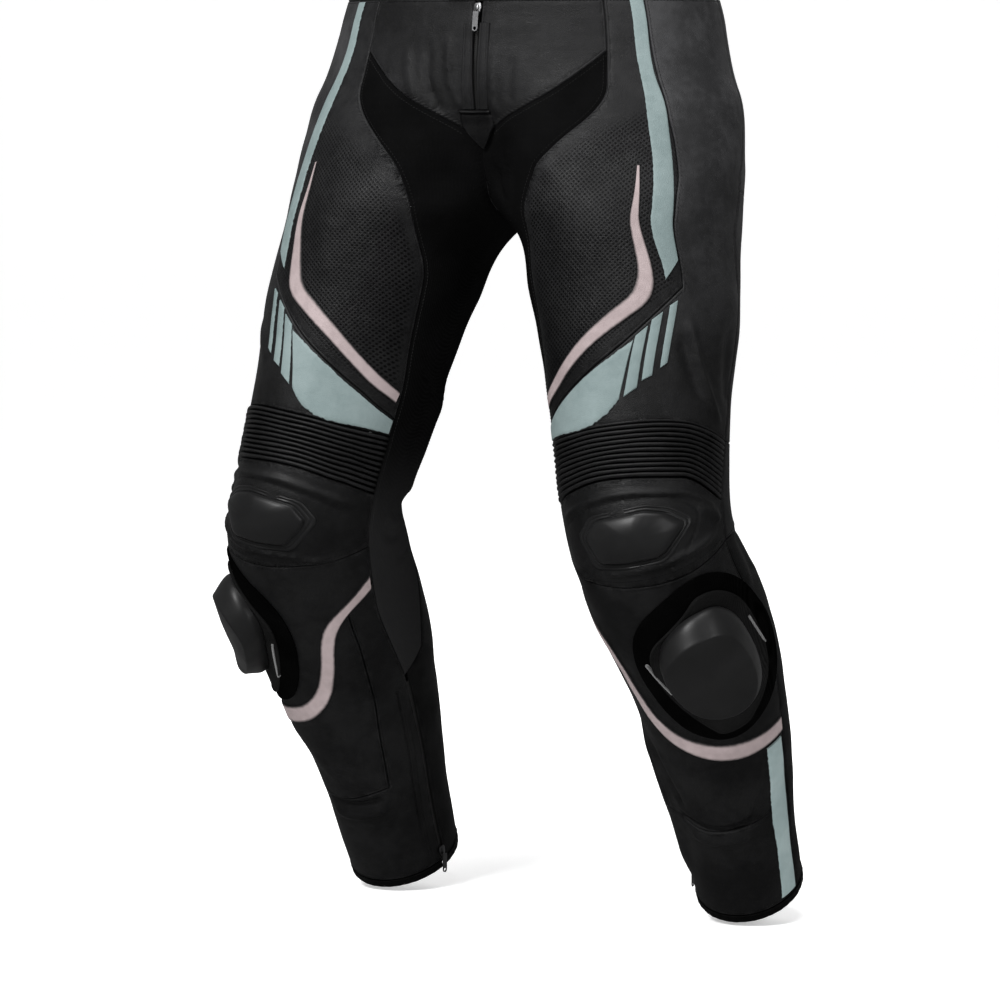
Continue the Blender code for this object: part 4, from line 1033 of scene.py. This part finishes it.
def fly_point(x, drop, lift):
    """A point on the front of the trunk, beside its middle."""
    at = beside(1, centre_front(drop), drop, abs(x), lift)
    return np.array([x, at[1], at[2]])


def on_leg_zip(side):
    return lambda across, drop, lift: beside(side, line_angle("stretch", drop), drop, across, lift)


def zip_chain(name, place, top, bottom, first_tooth):
    """Two tapes and the teeth between them."""
    drops = np.arange(top, bottom, TAPE_STEP)
    outline = [(0.25, -3.5), (1.4, -3.3), (TAPE_HALF, -3.8), (TAPE_HALF, -4.5), (0.25, -4.4)]
    points, faces = [], []
    for hand in (-1, 1):
        faces += loop_faces(len(drops), len(outline), start=len(points))
        points += [place(hand * x, drop, lift) for drop in drops for x, lift in outline]
    build(name + "_skin", points, faces, "tape")
    points, faces = [], []
    for n, drop in enumerate(np.arange(first_tooth, bottom - 1, TOOTH_PITCH / 2)):
        hand = 1 if n % 2 else -1
        near, far = -0.7 * hand, 1.9 * hand
        foot = [(near, -0.42, -2.9), (near, 0.42, -2.9), (far, 0.5, -3.1), (far, -0.5, -3.1)]
        head = [(near, -0.32, -0.8), (near, 0.32, -0.8), (far, 0.4, -0.6), (far, -0.4, -0.6)]
        faces += loop_faces(2, 4, start=len(points))
        points += [place(x, drop + down, lift) for x, down, lift in foot + head]
    build(name + "_teeth", points, faces, "teeth")


def slider(name, middle, across, along, out):
    """The body of a zip slider: two plates, a waist between them and a bridge for the tab."""
    half, length = SLIDER_HALF, SLIDER_LENGTH / 2
    shape = [(-0.62, -1), (0.62, -1), (0.92, -0.72), (1, -0.2), (0.8, 0.55), (0.55, 1), (-0.55, 1), (-0.8, 0.55),
             (-1, -0.2), (-0.92, -0.72)]
    levels = [(0.9, SLIDER_LOW), (1.0, SLIDER_LOW + 0.3), (1.0, 1.7), (0.93, 2.1), (0.8, 2.25)]
    swept(name + "_skin", [[middle + across * x * half * s + along * y * length * s + out * lift for x, y in shape]
                           for s, lift in levels], "metal", 35.0)
    bridge = []
    for along_at, height in ((-3.6, 0.2), (-3.0, 0.9), (-1.4, 1.15), (1.2, 1.15), (2.6, 0.9), (3.4, 0.2)):
        ring = [(-1.3, 2.0), (1.3, 2.0), (1.3, 2.1 + height), (0.9, 2.25 + height), (-0.9, 2.25 + height),
                (-1.3, 2.1 + height)]
        bridge.append([middle + across * x + along * along_at + out * lift for x, lift in ring])
    swept(name + "_bridge", bridge, "metal", 35.0)


def pull_tab(name, pivot, across, down, out, body):
    """A flat tab with a round hole at its free end, and its bevelled edges."""
    half, thick = TAB_WIDTH / 2, TAB_WALL / 2
    end = TAB_LENGTH - half
    corners = [math.atan2(-end, hand * half) % (2 * math.pi) for hand in (1, -1)]
    turns = np.unique(np.concatenate([np.linspace(0, 2 * math.pi, 40, endpoint=False), corners]))
    sine, cosine = np.sin(turns), np.cos(turns)
    sides = np.minimum(half / np.maximum(np.abs(cosine), 1e-6), end / np.maximum(-sine, 1e-6))
    reach = np.where(sine >= 0, half, sides)
    rim = [(TAB_BEVEL, -thick), (0, TAB_BEVEL - thick), (0, thick - TAB_BEVEL), (TAB_BEVEL, thick)]
    loops = [(reach - inset, lift) for inset, lift in rim]
    loops += [(TAB_HOLE / 2 + inset, lift) for inset, lift in reversed(rim)]
    points = [pivot + across * (x * r) + down * (end + y * r) + out * lift
              for radius, lift in loops for x, y, r in zip(cosine, sine, np.broadcast_to(radius, len(turns)))]
    faces = loop_faces(len(loops) + 1, len(turns))[2:]  # the last loop meets the first
    build(name + "_skin", points, [[v % len(points) for v in face] for face in faces], "metal", 35.0, body)


def calf_closure(side, mark):
    top = ROWS["zip_top"][2]
    zip_chain(f"calf_zip_{mark}", on_leg_zip(side), top + 2, CALF_ZIP_END, top + 8)
    angle = line_angle("stretch", CALF_SLIDER_DROP)
    middle = skin(side, angle, CALF_SLIDER_DROP)
    out = outward(side, angle, CALF_SLIDER_DROP)
    along = unit(skin(side, line_angle("stretch", CALF_SLIDER_DROP + 2), CALF_SLIDER_DROP + 2) - middle)
    slider(f"calf_slider_{mark}", middle, unit(np.cross(along, out)), along, out)
    down = np.array([0.0, 0.0, -1.0])
    flat_out = unit(out - down * (out @ down))
    pivot = middle + along * PIVOT_AHEAD + out * PIVOT_LIFT
    pull_tab(f"calf_pull_{mark}", pivot, unit(np.cross(down, flat_out)), down, flat_out, f"calf_tab_{mark}")


def fly_closure():
    zip_chain("fly_zip", fly_point, FLY_TOP, FLY_END, FLY_TOP + 2)
    middle = fly_point(0, FLY_SLIDER_DROP, 0)
    along, across = unit(fly_point(0, FLY_SLIDER_DROP + 2, 0) - middle), np.array([1.0, 0.0, 0.0])
    out = unit(np.cross(along, across))
    slider("fly_slider", middle, across, along, out)
    pull_tab("fly_pull", middle + along * PIVOT_AHEAD + out * PIVOT_LIFT, across, along, out, "fly_tab")


def fly_strip(side, mark):
    """The leather strip beside the fly's chain, closer to it at its foot."""
    shares = np.array([0, 0.05, 0.12, 0.2, 0.27, 0.4, 0.55, 0.7, 0.78, 0.85, 0.95, 1.0])
    lifts = [0.5, 1.9, 2.1, 1.6, 2.0, 2.1, 2.1, 2.0, 1.6, 2.0, 1.6, 0.3]
    top, low = [], []
    for drop in np.linspace(STRIP_TOP, STRIP_END, STRIP_ROWS):
        inner = STRIP_INNER * np.interp(drop, [STRIP_TOP, STRIP_END], [1.3, 0.55])
        xs = side * (inner + (STRIP_OUTER - inner) * shares)
        top.append([fly_point(x, drop, lift) for x, lift in zip(xs, lifts)])
        low.append([fly_point(x, drop, STRIP_LOW) for x in xs])
    obj = grid_shell(f"fly_strip_{mark}_skin", np.array(top), np.array(low), "yoke")


def fly_flap():
    """The tongue below the fly, with a rolled upper lip and stitched edges."""
    shares = np.linspace(-1, 1, 21)
    flap = np.array(FLAP, float)
    lip_drops = [150.6, 151.2, 152.2, 153.6, 155.5]
    drops = np.concatenate([lip_drops, np.linspace(157.5, 193, 18)])
    lips = np.interp(drops, [*lip_drops, 158], [1.4, 3.4, 4.3, 3.6, 1.7, 2.3])
    top, low = [], []
    for drop, lip in zip(drops, lips):
        half, lean, raised = (np.interp(drop, flap[:, 0], flap[:, k]) for k in (1, 2, 3))
        inset = half * (1 - np.abs(shares))
        rim = np.interp(inset, [0, 0.4, 1.2, 2.2, 3.2, 4.4], [-1.9, -0.4, 0.1, -0.45, 0.05, 0.0])
        top.append([fly_point(half * s + lean, drop, lip + raised - 0.9 + r) for s, r in zip(shares, rim)])
        low.append([fly_point(half * s + lean, drop, raised - 0.7) for s in shares])
    obj = grid_shell("fly_flap_skin", np.array(top), np.array(low), "flap")


# ---------------------------------------------------------------- sewing


class Sewing:
    """Short raised stitches, gathered into one mesh."""

    def __init__(self):
        self.points, self.faces = [], []

    def run(self, points, normals, closed):
        """Stitches along a line of points."""
        if closed:
            points, normals = np.vstack([points, points[:1]]), np.vstack([normals, normals[:1]])
        along = run_of(points)
        if along[-1] < 2 * STITCH_PITCH:
            return
        centres = np.arange(STITCH_PITCH / 2, along[-1] - STITCH_PITCH / 2, STITCH_PITCH)

        def at(s):
            return np.stack([np.interp(s, along, points[:, k]) for k in range(3)], 1)

        out = unit(np.stack([np.interp(centres, along, normals[:, k]) for k in range(3)], 1))
        start, middle, end = at(centres - STITCH_LENGTH / 2), at(centres), at(centres + STITCH_LENGTH / 2)
        straight_on = np.linalg.norm(end - start, axis=1) > 0.6 * STITCH_LENGTH
        start, middle, end, out = (v[straight_on] for v in (start, middle, end, out))
        across = unit(np.cross(out, end - start)) * STITCH_HALF
        corners = [start, end, middle + across, middle - across, middle + out * STITCH_RISE,
                   middle - out * STITCH_DEPTH]
        for stitch in np.stack(corners, 1):
            a, b, right, left, top, low = range(len(self.points), len(self.points) + 6)
            self.points += [*stitch]
            self.faces += [[a, right, top], [right, b, top], [b, left, top], [left, a, top],
                           [right, a, low], [b, right, low], [left, b, low], [a, left, low]]

    def on_leg(self, side, angles, drops, lift=STITCH_LIFT, closed=False):
        self.run(surface(side, angles, drops, lift), outward(side, angles, drops), closed)


def sew_border(sewing, side, border):
    """A stitched line inside a piece's edge."""
    angle, drop, clear = border.ring(STITCH_INSET)
    runs = np.flatnonzero(~clear)
    if not len(runs):
        sewing.on_leg(side, angle, drop, STITCH_SUNK, closed=True)
        return
    first = runs[0]
    angle, drop, clear = (np.roll(v, -first) for v in (angle, drop, clear))
    breaks = np.flatnonzero(~clear)
    for a, b in zip(breaks, [*breaks[1:], len(clear)]):
        if b - a > 3:
            sewing.on_leg(side, angle[a + 1 : b], drop[a + 1 : b], STITCH_SUNK)


# ---------------------------------------------------------------- materials


class Look:
    """A material in the making: a Principled shader and the nodes that feed it."""

    def __init__(self, name, **constants):
        self.material = bpy.data.materials.new(name)
        self.material.use_nodes = True
        self.tree = self.material.node_tree
        self.shader = self.tree.nodes["Principled BSDF"]
        for key, value in constants.items():
            self.shader.inputs[key.replace("_", " ")].default_value = value

    def node(self, kind, inputs=None, **settings):
        made = self.tree.nodes.new("ShaderNode" + kind)
        for key, value in settings.items():
            setattr(made, key, value)
        for key, value in (inputs or {}).items():
            if isinstance(value, bpy.types.NodeSocket):
                self.tree.links.new(value, made.inputs[key])
            else:
                made.inputs[key].default_value = value
        return made

    def height(self):
        return self.node("SeparateXYZ", {0: self.node("TexCoord").outputs["Object"]}).outputs["Z"]

    def place(self, scale, stretch=(1, 1, 1)):
        spot = self.node("TexCoord").outputs["Object"]
        return self.node("Mapping", {"Vector": spot, "Scale": [scale * s for s in stretch]}).outputs["Vector"]

    def noise(self, size, detail, roughness=0.5, stretch=(1, 1, 1)):
        """Cloudy values; size is that of a cloud in millimetres."""
        made = self.node("TexNoise", {"Vector": self.place(1 / (size * MM), stretch), "Scale": 1.0,
                                      "Detail": detail, "Roughness": roughness})
        return made.outputs[0]

    def cells(self, size):
        made = self.node("TexVoronoi", {"Vector": self.place(1 / (size * MM)), "Scale": 1.0},
                         feature="DISTANCE_TO_EDGE")
        return made.outputs["Distance"]

    def given(self, name):
        return self.node("Attribute", attribute_name=name).outputs["Fac"]

    def ramp(self, value, low, high, to_low=0.0, to_high=1.0):
        made = self.node("MapRange", {"Value": value, "From Min": low, "From Max": high, "To Min": to_low,
                                      "To Max": to_high}, interpolation_type="SMOOTHSTEP")
        return made.outputs["Result"]

    def maths(self, operation, a, b):
        return self.node("Math", {0: a, 1: b}, operation=operation).outputs[0]

    def times(self, a, b):
        return self.maths("MULTIPLY", a, b)

    def plus(self, a, b):
        return self.maths("ADD", a, b)

    def mixed(self, factor, a, b):
        made = self.node("Mix", data_type="RGBA")
        for index, value in ((0, factor), (6, a), (7, b)):
            if isinstance(value, bpy.types.NodeSocket):
                self.tree.links.new(value, made.inputs[index])
            elif index:
                made.inputs[index].default_value = (*value, 1)
            else:
                made.inputs[index].default_value = value
        return made.outputs[2]

    def bump(self, height, depth, before=None):
        """depth is the real height in millimetres that a value of 1 stands for."""
        made = self.node("Bump", {"Height": height, "Distance": depth * MM, "Strength": 1.0})
        if before is not None:
            self.tree.links.new(before, made.inputs["Normal"])
        return made.outputs["Normal"]

    def feed(self, **sockets):
        for key, value in sockets.items():
            self.tree.links.new(value, self.shader.inputs[key.replace("_", " ")])
        return self.material


def leather(name, dark, light, rough, holes=False, band=False, ribs=False, specular=None, above=1.8):
    """Cowhide: a fine grain, soft creases, lighter and duller where it is rubbed. Higher up the leg its colour is
    a lighter copy, painted light as from overhead lamps. With ribs, the gaps between them are painted near black
    as painted shade.
    """
    look = Look(name, Specular_IOR_Level=SPECULAR if specular is None else specular)
    clouds = look.noise(60, 4)
    fine = look.noise(9, 3)
    tone = look.ramp(look.plus(look.times(clouds, 0.7), look.times(fine, 0.3)), 0.35, 0.65)
    colour = look.mixed(tone, dark, light)
    # painted light: above the knee the colour fades into a copy that is 'above' times lighter, as overhead light
    # would make it
    if not band:
        lit = look.mixed(tone, tuple(above * c for c in dark), tuple(above * c for c in light))
        colour = look.mixed(look.ramp(look.height(), -0.46, -0.12), colour, lit)
    rubbed = look.ramp(look.given("edge"), 0.4, 2.2, 0.0, 1.0)
    rubbed = look.times(rubbed, look.ramp(look.given("edge"), 1.6, 5.0, 1.0, 0.0))
    if not band:
        worn = tuple(min(1.0, c * 1.5 + 0.004) for c in light)
        colour = look.mixed(look.times(rubbed, look.ramp(fine, 0.4, 0.7, 0.0, 0.5)), colour, worn)
    grain = look.ramp(look.cells(1.5), 0.0, 0.22)
    normal = look.bump(grain, 0.11)
    normal = look.bump(look.noise(3.2, 4, 0.6), 0.10, normal)
    normal = look.bump(look.noise(26, 3, 0.55, (1, 1, 2.2)), 0.55, normal)
    roughness = look.ramp(look.noise(35, 3), 0.3, 0.7, rough - 0.05, rough + 0.07)
    if band:
        soft = look.maths("MINIMUM", look.given("across"), look.maths("SUBTRACT", 1.0, look.given("across")))
        frayed = look.times(look.maths("SUBTRACT", look.noise(4, 4), 0.5), 0.08)
        ragged = look.plus(soft, frayed)
        colour = look.mixed(look.ramp(ragged, 0.01, band), BLACK, colour)
    if holes:
        spot = look.node("UVMap", uv_map="cloth").outputs["UV"]
        turned = look.node("Mapping", {"Vector": spot, "Rotation": (0, 0, math.pi / 4),
                                       "Scale": [1 / (HOLE_PITCH * MM)] * 3}).outputs["Vector"]
        cell = look.node("VectorMath", {0: turned}, operation="FRACTION").outputs[0]
        away = look.node("VectorMath", {0: cell, 1: (0.5, 0.5, 0)}, operation="SUBTRACT").outputs[0]
        flat = look.node("VectorMath", {0: away, 1: (1, 1, 0)}, operation="MULTIPLY").outputs[0]
        distance = look.node("VectorMath", {0: flat}, operation="LENGTH").outputs["Value"]
        zone = look.given("perforated")
        hole = look.times(look.ramp(distance, 0.16, 0.44, 0.62, 0.0), zone)
        colour = look.mixed(hole, colour, (0.0006, 0.0006, 0.0006))
        normal = look.bump(look.maths("SUBTRACT", 1.0, hole), 0.4, normal)
        look.feed(Metallic=hole)  # black metal takes the shine off the holes
    # painted shade: the gaps between the ribs are painted near black, and black metal takes the shine off them
    if ribs:
        gap = look.ramp(look.given("gap"), 0.35, 0.8)
        colour = look.mixed(gap, colour, (0.0006, 0.0006, 0.0006))
        look.feed(Metallic=gap)
    return look.feed(Base_Color=colour, Normal=normal, Roughness=roughness)


def knit(name, dark, light, pitch, rough, depth, below=None):
    """Knitted or looped cloth, with its courses and wales, and its colour low on the leg."""
    look = Look(name, Specular_IOR_Level=0.0)
    wales = look.node("TexWave", {"Vector": look.place(1 / (pitch * MM)), "Scale": 0.32, "Distortion": 0.8,
                                  "Detail": 1.0}, bands_direction="Z").outputs[0]
    loops = look.node("TexWave", {"Vector": look.place(1 / (pitch * MM), (1, 1, 0.3)), "Scale": 0.32,
                                  "Distortion": 1.2, "Detail": 1.0}, bands_direction="X").outputs[0]
    fuzz = look.noise(pitch * 0.8, 3, 0.7)
    weave = look.times(look.plus(wales, loops), 0.5)
    tone = look.plus(look.times(weave, 0.5), look.times(look.noise(45, 3), 0.5))
    colour = look.mixed(look.ramp(tone, 0.3, 0.7), dark, light)
    if below:
        colour = look.mixed(look.ramp(look.height(), -0.58, -0.46, 1.0, 0.0), colour, below)
    normal = look.bump(look.plus(weave, fuzz), depth)
    normal = look.bump(look.noise(22, 3), 0.4, normal)
    roughness = look.ramp(fuzz, 0.3, 0.7, rough - 0.06, rough + 0.06)
    return look.feed(Base_Color=colour, Normal=normal, Roughness=roughness)


def moulding(name, dark, light, rough, grain_size, depth, specular, metallic=0.0):
    """A moulded or cast face: a fine even grain with scuffs."""
    look = Look(name, Specular_IOR_Level=specular, Metallic=metallic)
    scuffs = look.ramp(look.noise(7, 6, 0.7, (1, 1, 3)), 0.55, 0.75)
    colour = look.mixed(look.times(scuffs, 0.35), look.mixed(look.noise(40, 2), dark, light), light)
    normal = look.bump(look.noise(grain_size, 2, 0.5), depth)
    roughness = look.ramp(look.plus(look.noise(25, 3), look.times(scuffs, 0.4)), 0.3, 1.1,
                          rough - 0.04, rough + 0.14)
    return look.feed(Base_Color=colour, Normal=normal, Roughness=roughness)


def floor_look():
    """A plain pale floor that glows, a painted light that is stronger towards the back of the studio than near its
    front.
    """
    look = Look("pale floor", Base_Color=(0.9, 0.9, 0.9, 1), Roughness=0.9)
    look.shader.inputs["Emission Color"].default_value = (1, 1, 1, 1)
    place = look.node("TexCoord").outputs["Object"]
    behind = look.node("VectorMath", {0: place, 1: (-math.sin(AZIMUTH), math.cos(AZIMUTH), 0)},
                       operation="DOT_PRODUCT").outputs["Value"]
    look.feed(Emission_Strength=look.ramp(behind, -1.6, 1.6, 0.12, 0.62))
    look.material.cycles.emission_sampling = "NONE"
    return look.material


# ---------------------------------------------------------------- assembly


def perforation(side, border, angles, drops):
    """How strongly each place of the front thigh is perforated: it fades out near its seams and above."""
    away, _ = nearest_to(border.tree, skin(side, angles, drops))
    fade = np.interp(away, [6.0, 14.0], [0, 1])
    start = np.where(side > 0, 212 - 1.33 * angles, 224 - 1.5 * angles)
    return fade * np.interp(drops - start, [-6, 8], [0, 1])


def leg(side, mark):
    sewing, on_cloth = Sewing(), Sewing()
    for name, corners in PANELS.items():
        material = PANEL_LOOK.get(name, "leather")
        edge = CLOTH_EDGE if material == "stretch" else LEATHER_EDGE
        obj, border, places = panel(f"{name}_{mark}_skin", side, corners_of(corners), material, edge)
        if edge is LEATHER_EDGE:
            sew_border(sewing, side, border)
        if name == "thigh_front":
            attribute(obj, "perforated", perforation(side, border, *places.T))
    for name, stations in BANDS.items():
        band(f"{name}_{mark}_skin", side, stations, BAND_LOOK[name], 20 if name == "thigh_flash" else 6)
    accordion(side, mark)
    bars(side, mark)
    knee(side, mark)
    hem_binding(side, mark)
    calf_closure(side, mark)
    at = np.linspace(COLUMN_AT["inner"] + 0.5, COLUMN_AT["stretch"], 60)
    drops = row_drop("yoke", at)
    on_cloth.on_leg(side, row_angle(at, drops), drops + YOKE_STITCHES)
    drops = np.linspace(ROWS["yoke"][2] + 4, ROWS["zip_top"][2] - 6, 300)
    on_cloth.on_leg(side, line_angle("stretch", drops) - CLOTH_STITCHES / mm_per_degree(drops), drops)
    for places in SEWN_LINES:
        angles, drops, _, _ = path_points(side, places)
        sewing.on_leg(side, angles, drops)
    build(f"stitches_{mark}", sewing.points, sewing.faces, "thread")
    build(f"cloth_stitches_{mark}", on_cloth.points, on_cloth.faces, "grey_thread")


PREPARED = {side: prepared(side) for side in MARKS}
AZIMUTH = math.radians(26)
BLACK = (0.005, 0.005, 0.0052)
SPECULAR = 0.13
HOLE_PITCH = 3.5
PANEL_LOOK = {
    "yoke_front": "yoke", "knee_panel": "knee", "knee_back": "low", "shin_front": "low", "shin_lower": "low",
    "calf_back": "calf", "thigh_front": "perforated", "stretch_inner": "stretch",
}
BAND_LOOK = {
    "side_stripe": "grey_blue", "thigh_flash": "grey_blue", "shin_stripe": "pale_blue", "thigh_stripe": "pink",
    "shin_band": "pink",
}
DARK, LIGHT = (0.0030, 0.0030, 0.0032), (0.0062, 0.0062, 0.0064)
DEEP, DIM = (0.0016, 0.0016, 0.0017), (0.0036, 0.0036, 0.0038)
MATERIALS = {
    # above: how many times lighter the painted light makes each leather high on the leg
    "leather": leather("worn black leather", (0.0020, 0.0020, 0.0021), (0.0044, 0.0044, 0.0046), 0.46, above=6.5),
    "perforated": leather("perforated black leather", DARK, LIGHT, 0.44, holes=True, specular=0.09),
    "ribs": leather("ribbed black leather", (0.0044, 0.0044, 0.0046), (0.0085, 0.0085, 0.0088), 0.42, ribs=True),
    "low": leather("black shin leather", DARK, LIGHT, 0.48, specular=0.09),
    "calf": leather("black calf leather", DEEP, DIM, 0.6, specular=0.07),
    "knee": leather("black knee leather", (0.0022, 0.0022, 0.0023), (0.0050, 0.0050, 0.0052), 0.42),
    "flap": leather("black fly leather", DEEP, DIM, 0.44, specular=0.08, above=1.0),
    "yoke": leather("dark grey hip leather", (0.0026, 0.0026, 0.0027), (0.0046, 0.0046, 0.0048), 0.46,
                    specular=0.08),
    "binding": leather("black binding", (0.0008, 0.0008, 0.0008), (0.002, 0.002, 0.002), 0.5, specular=0.05),
    "grey_blue": leather("grey blue leather", (0.116, 0.150, 0.150), (0.148, 0.186, 0.186), 0.5, band=0.03),
    "pale_blue": leather("pale grey blue leather", (0.17, 0.22, 0.22), (0.215, 0.27, 0.27), 0.5, band=0.03),
    "pink": leather("pale pink leather", (0.21, 0.171, 0.171), (0.27, 0.223, 0.223), 0.5, band=0.22),
    "stretch": knit("black stretch cloth", (0.0014, 0.0014, 0.0014), (0.0034, 0.0034, 0.0035), 1.1, 0.85, 0.12,
                    below=(0.0110, 0.0110, 0.0112)),
    "pile": knit("loop pile", (0.0004, 0.0004, 0.0004), (0.0018, 0.0018, 0.0018), 0.9, 0.95, 0.35),
    "plate": knit("short velour", (0.003, 0.003, 0.003), (0.009, 0.009, 0.009), 0.7, 0.8, 0.2),
    "tape": knit("zip tape", (0.0008, 0.0008, 0.0008), (0.002, 0.002, 0.002), 0.8, 0.75, 0.12),
    "tag": knit("woven tag", (0.08, 0.08, 0.08), (0.16, 0.16, 0.16), 0.5, 0.7, 0.08),
    "moulded": moulding("moulded rubber", (0.003, 0.003, 0.0031), (0.008, 0.008, 0.0082), 0.38, 0.9, 0.03, 0.16),
    "slider": moulding("slider plastic", (0.004, 0.004, 0.0041), (0.009, 0.009, 0.0092), 0.42, 0.7, 0.03, 0.2),
    "teeth": moulding("zip teeth", (0.004, 0.004, 0.004), (0.012, 0.012, 0.012), 0.4, 0.6, 0.02, 0.2),
    "metal": moulding("gunmetal", (0.06, 0.06, 0.062), (0.13, 0.13, 0.132), 0.34, 0.5, 0.02, 0.4, metallic=1.0),
    "thread": knit("black thread", (0.002, 0.002, 0.002), (0.006, 0.006, 0.006), 0.4, 0.6, 0.05),
    "grey_thread": knit("dark grey thread", (0.010, 0.010, 0.010), (0.019, 0.019, 0.019), 0.4, 0.6, 0.05),
    "floor": floor_look(),
}

for leg_side, leg_mark in MARKS.items():
    leg(leg_side, leg_mark)
waistband()
fly_closure()
for leg_side, leg_mark in MARKS.items():
    fly_strip(leg_side, leg_mark)
fly_flap()

# ---------------------------------------------------------------- floor, camera and light

ELEVATION = math.radians(6)
DISTANCE = 4.0
FLOOR_DEPTH = 0.962
ORIGIN_X, ORIGIN_Y = 0.532, -0.035  # where the waist's middle lies in the picture, in metres at its distance

# The floor is a wide dish, so that it closes the view behind the trousers.
DISH = [(0.5, 0), (2, 0), (5, 0), (6, 0.04), (7, 0.2), (8, 0.6), (9, 1.3), (10, 2.4), (10.6, 4.0)]
SPOKES = 96
turns = np.linspace(0, 2 * math.pi, SPOKES, endpoint=False)
dish = [(radius * math.cos(turn), radius * math.sin(turn), height - FLOOR_DEPTH)
        for radius, height in DISH for turn in turns]
mesh = bpy.data.meshes.new("floor")
faces = [list(range(SPOKES))]
for start in range(0, len(dish) - SPOKES, SPOKES):
    for k in range(SPOKES):
        a, b = start + k, start + (k + 1) % SPOKES
        faces.append([a, a + SPOKES, b + SPOKES, b])
mesh.from_pydata(dish, [], faces)
mesh.shade_smooth()
mesh.materials.append(MATERIALS["floor"])
floor = bpy.data.objects.new("floor", mesh)
bpy.context.scene.collection.objects.link(floor)
floor.visible_glossy = False  # so that it doesn't shine on every edge

right = Vector((math.cos(AZIMUTH), math.sin(AZIMUTH), 0))
level = math.cos(ELEVATION)
back = Vector((math.sin(AZIMUTH) * level, -math.cos(AZIMUTH) * level, math.sin(ELEVATION)))
target = right * (0.5 - ORIGIN_X) + Vector((0, 0, (ORIGIN_Y - 0.5) / level))
camera_data = bpy.data.cameras.new("camera")
camera_data.lens, camera_data.sensor_width = 144, 36
camera_data.clip_end = 100
camera = bpy.data.objects.new("camera", camera_data)
camera.location = target + back * DISTANCE
camera.rotation_euler = (-back).to_track_quat("-Z", "Y").to_euler()
bpy.context.scene.collection.objects.link(camera)
bpy.context.scene.camera = camera


def lamp(name, across, ahead, up, width, height, power):
    """A soft box that faces the trousers, placed as seen from the camera."""
    data = bpy.data.lights.new(name, "AREA")
    data.shape, data.size, data.size_y, data.energy = "RECTANGLE", width, height, power
    obj = bpy.data.objects.new(name, data)
    forward = Vector((back.x, back.y, 0)).normalized()
    obj.location = right * across + forward * ahead + Vector((0, 0, up))
    obj.rotation_euler = (Vector((0, 0, -0.5)) - obj.location).to_track_quat("-Z", "Y").to_euler()
    bpy.context.scene.collection.objects.link(obj)


lamp("key", -1.5, 2.0, 1.5, 0.9, 0.9, 110)
lamp("fill", 1.9, 2.3, 0.6, 1.0, 1.4, 24)
lamp("top", -0.2, 0.8, 2.0, 1.6, 0.7, 60)
lamp("back", 0.5, -2.6, 1.4, 1.6, 1.0, 45)

world = bpy.data.worlds.new("studio")
world.use_nodes = True
world.node_tree.nodes["Background"].inputs["Color"].default_value = (1, 1, 1, 1)
world.node_tree.nodes["Background"].inputs["Strength"].default_value = 0.2
bpy.context.scene.world = world
bpy.context.scene.view_settings.view_transform = "Standard"
